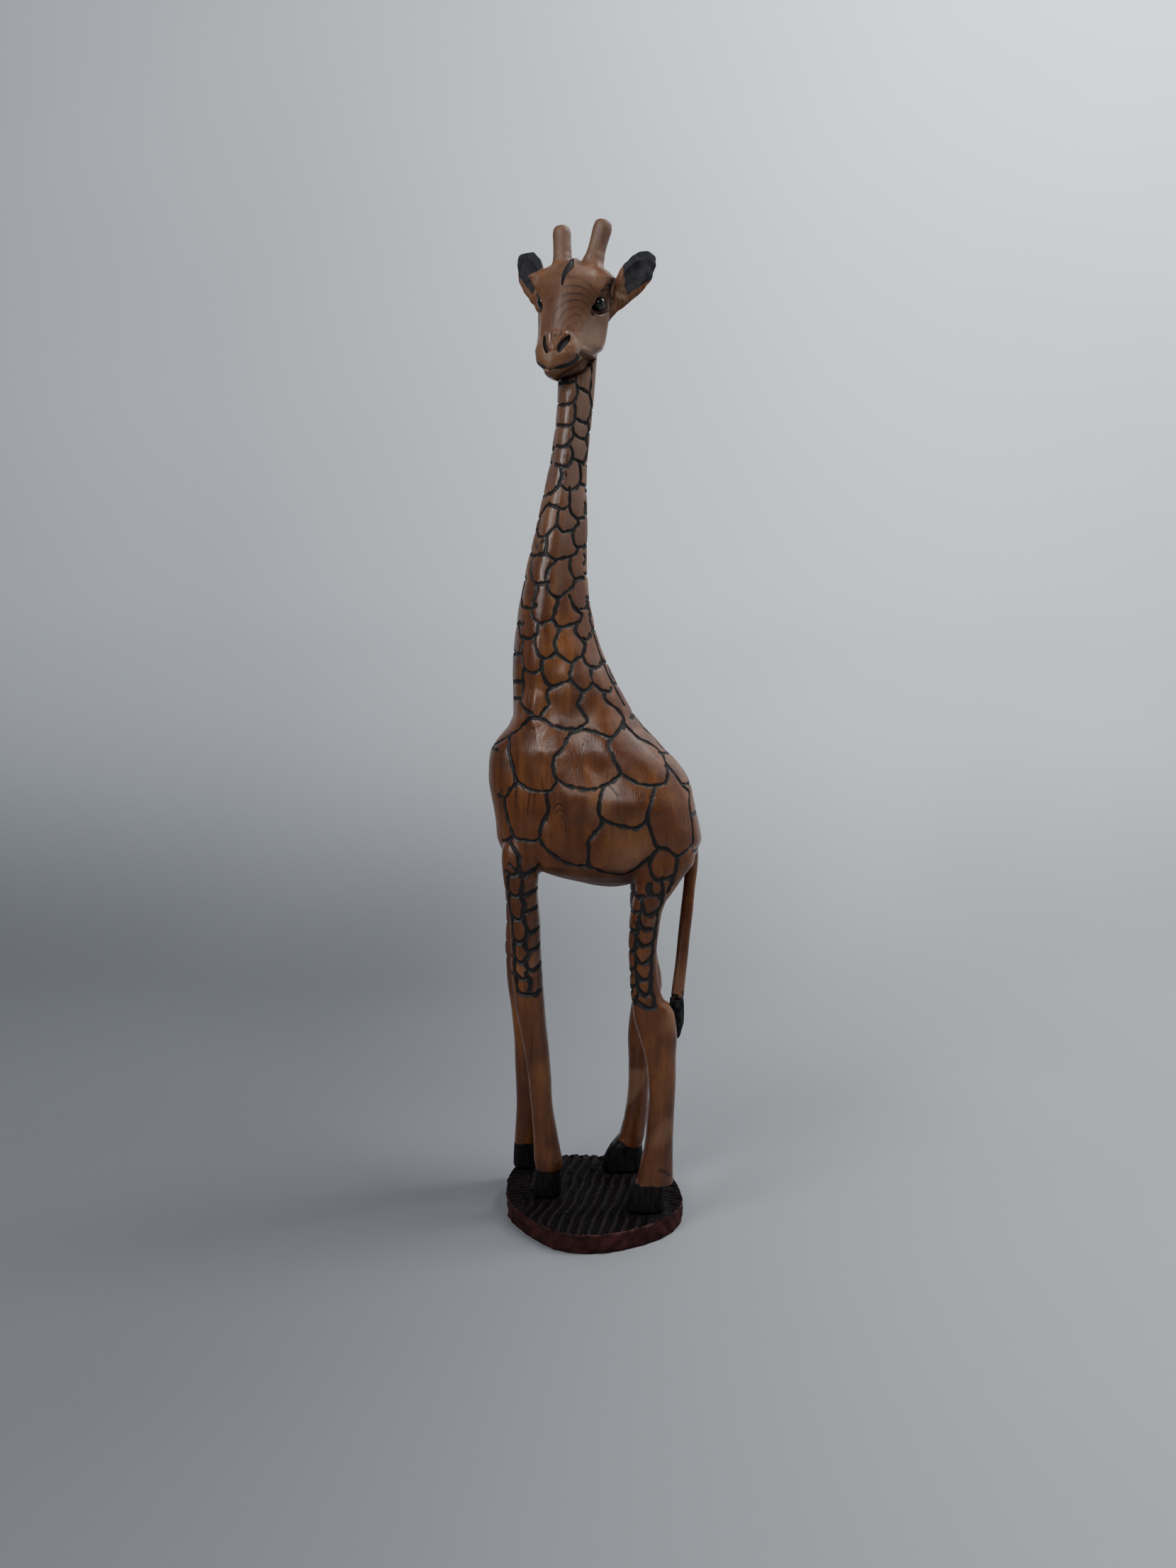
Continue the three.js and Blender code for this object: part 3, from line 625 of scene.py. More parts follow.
def leg_lines(lines, leg):
    """Cells down the outside of a leg, and short bars over its shin."""
    front = leg.startswith("front")
    side = -1 if leg.endswith("left") else 1
    table = widths("leg_" + leg, LEG_RINGS)
    corners = arrays(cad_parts["leg_" + leg].data)[0]
    for flat in FRONT_LEG if front else HIND_LEG:
        for across, z in dense(flat, LEG_SCALE):
            low, high = at_height(table, min(z * MM, LEG_TOP))
            lines.cast_side(low + across * (high - low), z * MM, side, LEG_LINE)
    for z in FRONT_TICKS if front else HIND_TICKS:
        level_z = min(z * MM, LEG_TOP)
        low = at_height(table, level_z)[0]
        near = corners[abs(corners[:, 2] - level_z) < 8 * MM]
        y = (near[:, 1].min() + near[:, 1].max()) / 2
        for t in np.linspace(-0.75, 0.75, 30):
            start = (low - 0.02, y + t * 0.011, (z - 1.5 * t) * MM)
            lines.cast(start, (1, 0, 0), TICK_LINE, reach=0.04)


def coat_lines(tree):
    lines = Lines(tree)
    net_lines(lines)
    bar_lines(lines)
    for leg in LEGS:
        leg_lines(lines, leg)
    return lines


def crests(co, normals, tree):
    """Raises a crisp crest where planes meet on neck and shoulder, and a soft swell on the flank."""
    rise = np.zeros(len(co))
    for flat, height, reach, crisp in (
        (NECK_CREST, 2.0, 13.0, True),
        (SHOULDER_CREST, 3.6, 24.0, True),
        (FLANK_SWELL, 4.0, 21.0, False),
    ):
        lines = Lines(tree)
        for side in (-1, 1):
            path = dense(flat, TRUNK_SCALE)
            for (across, z), t in zip(path, np.linspace(0, math.pi, len(path))):
                strength = 1.0 if crisp else math.sin(t)
                lines.cast_side(trunk_x(across, z * MM), z * MM, side, (strength, 0))
        kd = lines.search()
        margin = 2.3 * reach
        top, bottom = max(z for _, z in flat) + margin, min(z for _, z in flat) - margin
        for i in np.flatnonzero((co[:, 2] < top * MM) & (co[:, 2] > bottom * MM)):
            _, which, r = kd.find(co[i])
            r /= MM
            if r < 2.2 * reach:
                shape = max(0.0, 1 - r / reach) if crisp else math.exp(-((r / reach * 1.6) ** 2))
                # A shallow dip on either side sets the crest off.
                dip = 0.35 * math.exp(-(((r - 1.25 * reach) / (0.45 * reach)) ** 2))
                rise[i] += lines.half[which] * height * (shape - dip)
    return co + normals * (rise * MM)[:, None]


LOWEST_LINE = 0.19  # no line lies below this height
LINE_REACH = 8 * MM  # a line changes nothing further off than this


def scored(co, normals, lines):
    """Cuts every line into the surface as a V, and returns the new points and how burnt they are."""
    kd = lines.search()
    wobble = waves(co, 0.009, 11)
    burnt = np.zeros(len(co))
    drop = np.zeros(len(co))
    for i in np.flatnonzero(co[:, 2] > LOWEST_LINE):
        _, which, r = kd.find(co[i])
        if r > LINE_REACH:
            continue
        half = lines.half[which] * (1 + 0.22 * wobble[i])
        drop[i] = lines.depth[which] * max(0.0, 1 - (r / half) ** 1.3)
        drop[i] += 0.35 * MM * math.exp(-((r / (4.5 * MM)) ** 2))
        burnt[i] = 1 - min(1.0, max(0.0, (r - 0.75 * half) / (0.55 * half)))
    return co - normals * drop[:, None], burnt


def inside_depth(flat, outline):
    """How far each flat point lies inside a closed outline; negative outside."""
    p = np.array(outline, float)
    q = np.roll(p, -1, axis=0)
    best = np.full(len(flat), 1e9)
    wound = np.zeros(len(flat), bool)
    for a, b in zip(p, q):
        d = b - a
        t = np.clip(((flat - a) @ d) / (d @ d), 0, 1)
        best = np.minimum(best, np.linalg.norm(flat - a - t[:, None] * d, axis=1))
        crosses = (a[1] > flat[:, 1]) != (b[1] > flat[:, 1])
        with np.errstate(divide="ignore", invalid="ignore"):
            x = a[0] + (flat[:, 1] - a[1]) * d[0] / d[1]
        wound ^= crosses & (flat[:, 0] < x)
    return np.where(wound, best, -best)


def rounded(points, count=6):
    """A closed smooth outline through a few points."""
    p = np.array(points, float)
    n = len(p)
    out = []
    for i in range(n):
        a, b, c, d = p[i - 1], p[i], p[(i + 1) % n], p[(i + 2) % n]
        out.append(blended(a, b, c, d, np.linspace(0, 1, count, endpoint=False)[:, None]))
    return np.concatenate(out)


def distance_to(flat, points, step=0.4):
    """Distance of flat points to a smooth curve."""
    best = np.full(len(flat), 1e9)
    for p in curve(points, step):
        best = np.minimum(best, np.linalg.norm(flat - p, axis=1))
    return best


# The face, in the head's own frame, in mm. Seen from the side as (forward, up), and seen from in
# front as (to its left, up).
EYE_SOCKET = [(13, 48), (17.4, 40), (16.4, 31), (13.8, 20), (8, 18.5), (2.5, 21.5), (-2, 28), (2, 38)]
LID_UPPER = [(16.5, 36), (10, 40), (3, 37), (-1.5, 30)]
LID_FOLD = [(14.5, 42), (9.5, 43.5), (4.5, 41)]
TEAR_DUCT = [(15.2, 24), (14, 19.5), (12, 17.5)]
BROW = [(23, 57.5), (30, 53.5), (37.5, 48)]
BROW_UNDER = [(24, 49), (28, 43)]
FOREHEAD_CUT = [(1.8, 61.5), (5.0, 55), (4.2, 49), (1.4, 43), (0.2, 36.5), (-1.8, 36.8), (-3.0, 43)]
FOREHEAD_CUT += [(-3.2, 49), (-1.6, 56)]
NOSTRIL_LEFT = [(11.2, -3.8), (13.0, -9), (10.6, -15.5), (6.2, -21.2), (3.4, -18.4), (5.2, -11)]
NOSTRIL_RIGHT = [(-13.4, -4.5), (-9, -6.5), (-6.4, -13), (-3, -20), (-5.8, -21.6), (-10.2, -15)]
NOSE_RIDGE_LEFT = [(8.0, -3.5), (4.2, -10), (2.0, -17)]
NOSE_RIDGE_RIGHT = [(-7.6, -4), (-4.6, -11), (-1.8, -18)]
NOSE_FOLDS = [[(-5, -3.5), (-3.2, -9), (-2.4, -15)], [(-0.6, -5), (-0.4, -13)], [(4.4, -4), (2.2, -11)]]
MUZZLE_TOP = [(19.5, -8), (13, -1.5), (4, 0.5), (-6, 0.5), (-13, -1.5)]
CHEEK_EDGE = [(24.5, 19), (20.5, 9), (18.6, -1), (18.2, -10), (20, -17)]
CHEEK_HOLLOW = [(27, 10), (26, 0), (26, -8)]
MEDIAN_RIDGE = [(0.5, 64), (0.6, 56), (0.4, 47)]
MOUTH = [(19.8, -20), (19.4, -24), (16.8, -28.4), (11.0, -32.2), (0.5, -34.6)]
LIP_CLEFT = [(0.4, -33), (-0.2, -39)]


def faced(co, normals):
    """Carves the face, and returns the new points and how dark they are: burnt marks, and painted shade in
    the eye sockets and the hollow under the jaw.
    """
    h = head_frame(co)
    f, s, z = h.T
    front = normals @ FORWARD
    outward = normals @ LEFTWARD
    move = np.zeros_like(co)
    dark = np.zeros(len(co))
    inwards = -FORWARD
    near_head = above_throat(co) > -2 * MM
    # Eye sockets, seen from each side.
    profile = np.stack([f, z], 1)
    for side in (1, -1):
        facing = (side * s > 14) & (outward * side > -0.35) & near_head
        depth = np.where(facing, inside_depth(profile, rounded(EYE_SOCKET)), -9)
        cut = ramp(depth, 0.0, 1.6) * (2.7 + 1.2 * ramp(z, 40, 28)) * ramp(f, 0.5, 5.5)
        # Behind the eye the temple fills out to meet the root of the ear.
        cut -= 1.1 * facing * ramp(f, 6, 1) * ramp(f, -12, -5) * np.exp(-(((z - 21) / 11) ** 2))
        lids = np.exp(-((distance_to(profile, LID_UPPER) / 0.9) ** 2))
        fold = np.exp(-((distance_to(profile, LID_FOLD) / 0.8) ** 2))
        duct = np.exp(-((distance_to(profile, TEAR_DUCT) / 1.3) ** 2)) * facing
        cut += np.where(depth > 0.8, 0.9 * fold - 1.3 * lids, 0) + 1.6 * duct
        move -= np.outer(cut * side, LEFTWARD) * MM
        lined = np.exp(-(((depth - 0.9) / 0.55) ** 2))
        # Painted shade: the socket darkens with its depth, more towards its lower part, along the lid and in
        # the fold's crease.
        socket_shade = ramp(depth, 0.2, 1.8) * (0.3 + 0.1 * ramp(z, 31, 23) + 0.25 * lids + 0.35 * fold)
        dark = np.maximum(dark, np.minimum(1, np.where(facing, socket_shade + 0.5 * lined, 0)))
        dark = np.maximum(dark, 0.8 * duct)
        rim = np.exp(-(((depth + 0.9) / 0.8) ** 2)) * facing * ramp(f, 4, 9)
        move += np.outer(0.3 * rim * side, LEFTWARD) * MM
    # Seen from in front.
    face = np.stack([s, z], 1)
    ahead = (front > 0.15) & near_head & (f > 0)

    def press(amount, shade, where=ahead):
        nonlocal move, dark
        amount = np.where(where, amount, 0)
        move += np.outer(amount * MM, inwards)
        dark = np.maximum(dark, np.where(where, shade, 0))

    for side in (1, -1):
        mirror = np.stack([side * s, z], 1)
        brow = np.maximum(0, 1 - distance_to(mirror, BROW) / 3.4)
        under = np.exp(-((distance_to(mirror, BROW_UNDER) / 4.0) ** 2))
        press(-1.9 * brow + 1.2 * under, 0 * brow)
        crisp = np.maximum(0, 1 - distance_to(mirror, CHEEK_EDGE) / 5.0)
        hollow = np.exp(-((distance_to(mirror, CHEEK_HOLLOW) / 4.5) ** 2))
        press(-2.2 * crisp + 0.7 * hollow, 0 * crisp)
        line = distance_to(mirror, MOUTH)
        smear = 0.75 * ramp(line, 2.1, 0.9) * ramp(side * s, 8, 14) * ramp(f, 22, 31)
        smear += 0.5 * ramp(line, 1.1, 0.4)
        press(1.3 * ramp(line, 1.6, 0.1), smear, (front > -0.2) & near_head & (f > 21))
        # Below the crisp edge of the jaw the throat falls away in a hollow, painted a little darker as
        # shade.
        under_jaw = (side * s > 4) & (f < 26) & (f > -14) & near_head
        fall = np.where(under_jaw, ramp(z, -14.0, -17.5) * ramp(f, 26, 21), 0)
        move -= np.outer(4.6 * fall * ramp(side * s, 4, 16) * side, LEFTWARD) * MM
        edge = np.exp(-(((z + 12.8) / 2.0) ** 2)) * ramp(side * s, 14, 19) * ramp(f, 25, 20) * (f > -8)
        move += np.outer(0.9 * edge * near_head * side, LEFTWARD) * MM
        dark = np.maximum(dark, 0.05 * fall)
    cut = inside_depth(face, rounded(FOREHEAD_CUT))
    press(2.8 * ramp(cut, 0, 1.7), 0.9 * ramp(cut, -0.2, 0.9))
    nostril = inside_depth(face, rounded(NOSTRIL_LEFT))
    press(3.2 * ramp(nostril, 0, 1.7), ramp(nostril, -0.3, 1.0))
    nostril = inside_depth(face, rounded(NOSTRIL_RIGHT))
    press(3.0 * ramp(nostril, 0, 1.7), 0.95 * ramp(nostril, -0.3, 1.0))
    press(0.35 * np.exp(-((distance_to(face, MUZZLE_TOP) / 2.4) ** 2)), 0 * s)
    press(-1.8 * np.maximum(0, 1 - distance_to(face, MEDIAN_RIDGE) / 4.5), 0 * s)
    for ridge in (NOSE_RIDGE_LEFT, NOSE_RIDGE_RIGHT):
        press(-1.2 * np.exp(-((distance_to(face, ridge) / 1.3) ** 2)), 0 * s)
    for fold in NOSE_FOLDS:
        line = distance_to(face, fold)
        press(0.9 * ramp(line, 1.1, 0.2), 0.45 * ramp(line, 1.2, 0.4))
    # The chin narrows to the statue's right, and a notch parts the horns beside a small peak.
    chin = ramp(f, 4, 15) * near_head
    inward = chin * 10.5 * ramp(z, -20, -38) * ramp(s, -4, 12)
    inward -= chin * 4.0 * np.exp(-(((z + 33) / 5) ** 2)) * ramp(-s, 2, 12)
    move -= np.outer(inward * MM, LEFTWARD)
    between = ramp(z, 55, 59) * ramp(abs(s - 3), 13, 9)
    notch = 3.2 * np.exp(-(((s - 7.6) / 3.2) ** 2)) - 1.4 * np.exp(-(((s - 1.4) / 2.2) ** 2))
    move -= np.outer(notch * between * MM, CROWNWARD)
    cleft = distance_to(face, LIP_CLEFT)
    press(1.2 * ramp(cleft, 1.5, 0.2), 0.5 * ramp(cleft, 1.4, 0.4))
    return co + move, dark


def region_of(co, tri):
    """The member each triangle of the trunk mesh belongs to."""
    c = co[tri].mean(1)
    x, y, z = c.T
    name = np.full(len(c), "body", object)
    name[z > COLLAR] = "neck"
    tail = on_tail(x, z)
    leg = (z < HIP) & ~tail
    hind = x > 0
    left = y < 0
    for part, rows in (("leg", leg & (z > HOOF_TOP)), ("hoof", leg & (z <= HOOF_TOP))):
        for end, fore in (("front", ~hind), ("hind", hind)):
            for side, near in (("left", left), ("right", ~left)):
                name[rows & fore & near] = f"{part}_{end}_{side}"
    name[tail] = "tail"
    return name


def capped(co, tri, normals, values):
    """One closed piece out of some triangles of a skin: every open edge loop gets a flat lid."""
    used, index = np.unique(tri, return_inverse=True)
    tri = index.reshape(-1, 3)
    co, normals = co[used], normals[used]
    values = {k: v[used] for k, v in values.items()}
    edges = {}
    for a, b in np.concatenate([tri[:, [0, 1]], tri[:, [1, 2]], tri[:, [2, 0]]]).tolist():
        edges[(a, b)] = True
    following = {b: a for a, b in edges if (b, a) not in edges}
    lids, lid_normals, points, point_normals, sources = [], [], [], [], []
    while following:
        start, here = following.popitem()
        loop = [start]
        while here != start and here in following:
            loop.append(here)
            here = following.pop(here)
        ring = co[loop]
        centre = ring.mean(0)
        area = np.cross(ring - centre, np.roll(ring, -1, 0) - centre).sum(0)
        direction = area / max(np.linalg.norm(area), 1e-12)
        middle = len(co) + len(points)
        points.append(centre)
        point_normals.append(direction)
        sources.append(loop[0])
        for a, b in zip(loop, loop[1:] + loop[:1]):
            lids.append((a, b, middle))
            lid_normals += [direction] * 3
    loop_normals = normals[tri.reshape(-1)]
    if lids:
        co = np.concatenate([co, points])
        values = {k: np.concatenate([v, v[sources]]) for k, v in values.items()}
        tri = np.concatenate([tri, lids])
        loop_normals = np.concatenate([loop_normals, lid_normals])
    return co, tri, loop_normals, values


def piece(name, co, tri, values, material, loop_normals=None, stands_for=None):
    mesh = bpy.data.meshes.new(name)
    mesh.from_pydata(co.tolist(), [], tri.tolist())
    mesh.shade_smooth()
    for key, value in values.items():
        mesh.attributes.new(key, "FLOAT", "POINT").data.foreach_set("value", value.astype(np.float32))
    if loop_normals is not None:
        mesh.normals_split_custom_set(loop_normals.tolist())
    obj = bpy.data.objects.new(name, mesh)
    bpy.context.scene.collection.objects.link(obj)
    mesh.materials.append(material)
    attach(obj, "root")
    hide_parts(stands_for or name)
    return obj


def kept_in_box(co):
    inset = 0.05 * MM
    return np.clip(co, np.array(cad_low) + inset, np.array(cad_high) - inset)


# ---------------------------------------------------------------- finishes


class Graph:
    """A material's nodes, with short ways to add and join them."""

    def __init__(self, name):
        self.material = bpy.data.materials.new(name)
        self.material.use_nodes = True
        self.nodes = self.material.node_tree.nodes
        self.links = self.material.node_tree.links
        self.shader = next(n for n in self.nodes if n.type == "BSDF_PRINCIPLED")

    def plug(self, socket, value):
        if isinstance(value, bpy.types.NodeSocket):
            self.links.new(value, socket)
        else:
            socket.default_value = value

    def math(self, operation, a, b=0.0):
        node = self.nodes.new("ShaderNodeMath")
        node.operation = operation
        self.plug(node.inputs[0], a)
        self.plug(node.inputs[1], b)
        return node.outputs[0]

    def plus(self, a, b):
        return self.math("ADD", a, b)

    def minus(self, a, b):
        return self.math("SUBTRACT", a, b)

    def times(self, a, b):
        return self.math("MULTIPLY", a, b)

    def between(self, value, low, high, to_low=0.0, to_high=1.0):
        node = self.nodes.new("ShaderNodeMapRange")
        node.interpolation_type = "SMOOTHSTEP"
        for socket, v in zip(node.inputs[:5], (value, low, high, to_low, to_high)):
            self.plug(socket, v)
        return node.outputs[0]

    def mix(self, factor, a, b, blend="MIX"):
        node = self.nodes.new("ShaderNodeMix")
        node.data_type = "RGBA"
        node.blend_type = blend
        self.plug(node.inputs["Factor"], factor)
        self.plug(node.inputs["A"], a if isinstance(a, bpy.types.NodeSocket) else (*a, 1))
        self.plug(node.inputs["B"], b if isinstance(b, bpy.types.NodeSocket) else (*b, 1))
        return node.outputs["Result"]

    def place(self):
        return self.nodes.new("ShaderNodeTexCoord").outputs["Object"]

    def stretched(self, vector, scale):
        node = self.nodes.new("ShaderNodeVectorMath")
        node.operation = "MULTIPLY"
        self.plug(node.inputs[0], vector)
        node.inputs[1].default_value = scale
        return node.outputs[0]

    def noise(self, vector, scale, detail=3.0, roughness=0.55):
        node = self.nodes.new("ShaderNodeTexNoise")
        self.plug(node.inputs["Vector"], vector)
        node.inputs["Scale"].default_value = scale
        node.inputs["Detail"].default_value = detail
        node.inputs["Roughness"].default_value = roughness
        return node.outputs[0]

    def apart(self, vector):
        node = self.nodes.new("ShaderNodeSeparateXYZ")
        self.plug(node.inputs[0], vector)
        return node.outputs

    def attribute(self, name):
        node = self.nodes.new("ShaderNodeAttribute")
        node.attribute_name = name
        return node.outputs["Fac"]

    def bump(self, height, strength, distance):
        node = self.nodes.new("ShaderNodeBump")
        node.inputs["Strength"].default_value = strength
        node.inputs["Distance"].default_value = distance
        self.plug(node.inputs["Height"], height)
        self.plug(self.shader.inputs["Normal"], node.outputs[0])

    def finish(self, colour, roughness, **fixed):
        self.plug(self.shader.inputs["Base Color"], colour)
        self.plug(self.shader.inputs["Roughness"], roughness)
        for name, value in fixed.items():
            self.shader.inputs[name.replace("_", " ")].default_value = value
        return self.material


# Colours of wood, wax, soot and burnt lines, and of painted sheen and shade, as linear RGB.
WOOD_DEEP = (0.078, 0.0235, 0.0085)
WOOD_MID = (0.128, 0.041, 0.0135)
WOOD_ORANGE = (0.220, 0.078, 0.020)
WOOD_DARK = (0.044, 0.0135, 0.0062)
WOOD_RING = (0.028, 0.0098, 0.0062)
# Pale of worn wax, also used as painted sheen and painted light on the face.
WOOD_PALE = (0.30, 0.165, 0.095)
# Grey-brown of the ear roots, and the colour painted as sheen on neck and face.
WOOD_GREY = (0.160, 0.100, 0.070)
WOOD_WARM = (0.170, 0.083, 0.036)
SOOT = (0.015, 0.014, 0.016)
SOOT_PALE = (0.034, 0.033, 0.037)
BURN_AND_SHADE = (0.0032, 0.0022, 0.0022)
BURN_BROWN_AND_SHADE = (0.011, 0.005, 0.0035)

PITH_X = -0.026  # where the heart of the log runs, upright through the statue
PITH_DEPTH = (-0.054, -0.032)  # its y at the flank and at the head
FACE_PITH_X = -0.014  # its x at the head
FACE_ZONE = (0.68, 0.76)  # the rings of the trunk pass into those of the face between these heights
FACE_SPREAD = 1.6  # the rings of the face are wider apart by this factor
FACE_HEART = 0.797  # height at which it comes out of the face
FACE_LEAN = 0.62
KNOT = 0.372  # height at which the flank cuts through the log's heart
OVAL = (0.0085, 0.026)  # half width and half height of the rings' oval round it
RING = 2.2 * MM  # spacing of the growth rings


def wood_rings(g, where):
    """Growth rings round the log's heart, from 0 in early wood to 1 in the thin dark late wood."""
    x, y, z = g.apart(where)[:3]
    sway = g.noise(g.stretched(where, (0.0, 0.0, 1.0)), 7.0, 1.0)
    bend = g.noise(where, 14.0, 2.0)
    pith = g.between(z, *FACE_ZONE, PITH_X, FACE_PITH_X)
    dx = g.plus(g.minus(x, pith), g.times(g.minus(sway, 0.5), 0.02))
    heart = g.between(z, 0.45, 0.75, *PITH_DEPTH)
    # Above the muzzle the grain leans back, which draws nested arches on the face.
    back = g.times(g.math("MAXIMUM", g.minus(z, FACE_HEART), 0.0), FACE_LEAN)
    heart = g.plus(heart, back)
    dy = g.plus(g.minus(y, heart), g.times(g.minus(bend, 0.5), 0.012))
    # The heart leans through the flank, so that the rings close into ovals there.
    lean = g.between(z, KNOT - 0.066, KNOT + 0.066, -0.021, 0.021)
    lean = g.times(lean, g.between(z, 0.48, 0.66, 1.0, 0.0))
    squares = [g.times(v, v) for v in (dx, dy, lean)]
    radius = g.math("SQRT", g.plus(g.plus(squares[0], squares[1]), squares[2]))
    spacing = g.between(z, *FACE_ZONE, RING, FACE_SPREAD * RING)
    cycle = g.math("FRACT", g.math("DIVIDE", radius, spacing))
    rise = g.between(cycle, 0.5, 0.82)
    fall = g.between(cycle, 0.88, 1.0, 1.0, 0.0)
    return g.times(rise, fall)


def carved_wood():
    g = Graph("carved_wood")
    where = g.place()
    ring = wood_rings(g, where)
    pores = g.between(g.noise(g.stretched(where, (1.0, 1.0, 0.07)), 1500.0, 2.0, 0.6), 0.60, 0.70)
    long_pores = g.between(g.noise(g.stretched(where, (1.0, 1.0, 0.035)), 520.0, 3.0, 0.6), 0.62, 0.74)
    streak = g.noise(g.stretched(where, (1.0, 1.0, 0.05)), 130.0, 4.0, 0.6)
    stain = g.noise(where, 16.0, 4.0)
    patch = g.noise(g.stretched(where, (1.0, 1.0, 0.4)), 45.0, 3.0)
    colour = g.mix(g.between(stain, 0.34, 0.66), WOOD_DEEP, WOOD_MID)
    colour = g.mix(g.between(patch, 0.42, 0.72, 0.0, 0.75), colour, WOOD_ORANGE)
    colour = g.mix(g.times(g.between(streak, 0.3, 0.7), 0.45), colour, WOOD_DARK)
    shown = g.plus(0.06, g.times(g.attribute("rings"), 0.9))
    shown = g.times(shown, g.between(g.noise(where, 40.0, 2.0), 0.38, 0.6, 0.2, 1.0))
    # Worn patches lighten the wood. On the face the same mix paints sheen and light on cheeks, chin and
    # muzzle.
    colour = g.mix(g.times(g.attribute("wear_and_sheen"), 0.6), colour, WOOD_PALE)
    # Painted sheen: the wood is greyed where a reflection of the window is painted into its colour.
    colour = g.mix(g.times(g.attribute("painted_sheen"), 0.6), colour, WOOD_GREY)
    colour = g.mix(g.times(g.attribute("warm"), 0.6), colour, g.mix(streak, WOOD_WARM, WOOD_MID))
    colour = g.mix(g.times(ring, shown), colour, WOOD_RING)
    colour = g.mix(g.times(pores, 0.45), colour, BURN_AND_SHADE)
    colour = g.mix(g.times(long_pores, 0.5), colour, BURN_AND_SHADE)
    split = g.nodes.new("ShaderNodeTexVoronoi")
    split.feature = "DISTANCE_TO_EDGE"
    split.inputs["Scale"].default_value = 30.0
    g.plug(split.inputs["Vector"], g.stretched(where, (1.0, 1.0, 0.16)))
    crack = g.between(split.outputs["Distance"], 0.002, 0.016, 1.0, 0.0)
    crack = g.times(crack, g.between(g.noise(where, 24.0, 3.0), 0.56, 0.64))
    crack = g.times(crack, g.between(g.attribute("dull"), 0.2, 0.5, 1.0, 0.0))
    colour = g.mix(g.times(crack, 0.75), colour, BURN_AND_SHADE)
    speck = g.noise(where, 700.0, 2.0)
    # Burnt lines, and on the face the painted shade of the eye sockets and the jaw's hollow, take the burnt
    # colour.
    burnt = g.attribute("burn_and_shade")
    ragged = g.between(g.plus(burnt, g.times(speck, 0.5)), 0.5, 0.95)
    colour = g.mix(ragged, colour, g.mix(g.between(speck, 0.4, 0.7), BURN_AND_SHADE, BURN_BROWN_AND_SHADE))
    # Black scorch on hooves and tuft, and painted shade on the top of the head.
    scorched = g.attribute("scorch_and_shade")
    scorch_and_shade = g.between(g.plus(scorched, g.times(streak, 0.45)), 0.45, 1.05)
    colour = g.mix(scorch_and_shade, colour, BURN_AND_SHADE)
    smear = g.between(g.noise(where, 38.0, 4.0), 0.3, 0.7, 0.23, 0.38)
    rough = g.plus(smear, g.times(ragged, 0.28))
    rough = g.plus(rough, g.times(g.attribute("dull"), 0.27))
    rough = g.plus(rough, g.times(pores, 0.15))
    relief = g.minus(g.times(ring, 0.35), g.times(pores, 0.6))
    relief = g.minus(relief, g.times(long_pores, 0.8))
    relief = g.minus(relief, g.times(crack, 1.5))
    relief = g.plus(relief, g.times(g.noise(where, 260.0, 3.0), 0.8))
    relief = g.plus(relief, g.times(g.times(speck, ragged), 2.0))
    g.bump(relief, 0.45, 0.25 * MM)
    return g.finish(colour, rough, Coat_Weight=0.06, Coat_Roughness=0.2, Specular_IOR_Level=0.42)


def blackened_wood():
    g = Graph("blackened_wood")
    where = g.place()
    grain = g.noise(g.stretched(where, (1.0, 1.0, 0.12)), 420.0, 4.0, 0.6)
    lump = g.noise(where, 160.0, 4.0, 0.6)
    speck = g.between(g.noise(where, 420.0, 2.0), 0.62, 0.7)
    colour = g.mix(g.between(grain, 0.35, 0.7), (0.003, 0.0028, 0.0032), (0.0125, 0.0105, 0.011))
    brown = g.between(g.noise(where, 60.0, 3.0), 0.5, 0.75, 0.0, 0.6)
    colour = g.mix(g.times(brown, 0.2), colour, WOOD_DEEP)
    colour = g.mix(g.attribute("sooty"), colour, g.mix(g.between(lump, 0.3, 0.7), SOOT, SOOT_PALE))
    root = g.mix(g.between(grain, 0.3, 0.7), WOOD_MID, WOOD_GREY)
    colour = g.mix(g.attribute("root"), colour, root)
    rough = g.between(lump, 0.3, 0.7, 0.42, 0.78)
    rough = g.minus(rough, g.times(speck, 0.3))
    relief = g.plus(g.times(lump, 1.6), g.times(grain, 1.0))
    g.bump(relief, 0.7, 0.5 * MM)
    return g.finish(colour, rough, Coat_Weight=0.0, Coat_Roughness=0.3, Specular_IOR_Level=0.12)


def stained_base():
    g = Graph("stained_base")
    where = g.place()
    grain = g.noise(g.stretched(where, (1.0, 0.15, 1.0)), 320.0, 4.0, 0.6)
    lump = g.noise(where, 70.0, 4.0, 0.6)
    fine = g.noise(where, 620.0, 3.0)
    top = g.mix(g.between(lump, 0.35, 0.68), (0.0012, 0.0009, 0.0011), (0.0048, 0.0028, 0.0034))
    rim = g.mix(g.between(lump, 0.3, 0.7), (0.020, 0.0065, 0.0065), (0.062, 0.021, 0.019))
    rim = g.mix(g.between(fine, 0.52, 0.72, 0.0, 0.8), rim, (0.012, 0.007, 0.007))
    top = g.mix(g.times(g.attribute("crest"), g.between(fine, 0.35, 0.65)), top, (0.024, 0.0145, 0.0165))
    colour = g.mix(g.attribute("rim"), top, rim)
    colour = g.mix(g.times(g.attribute("lip"), g.between(fine, 0.4, 0.6)), colour, (0.10, 0.052, 0.048))
    rough = g.between(lump, 0.3, 0.7, 0.5, 0.8)
    relief = g.plus(g.times(lump, 1.4), g.times(g.plus(grain, fine), 1.0))
    g.bump(relief, 0.8, 0.6 * MM)
    return g.finish(colour, rough, Coat_Weight=0.0, Coat_Roughness=0.35, Specular_IOR_Level=0.07)


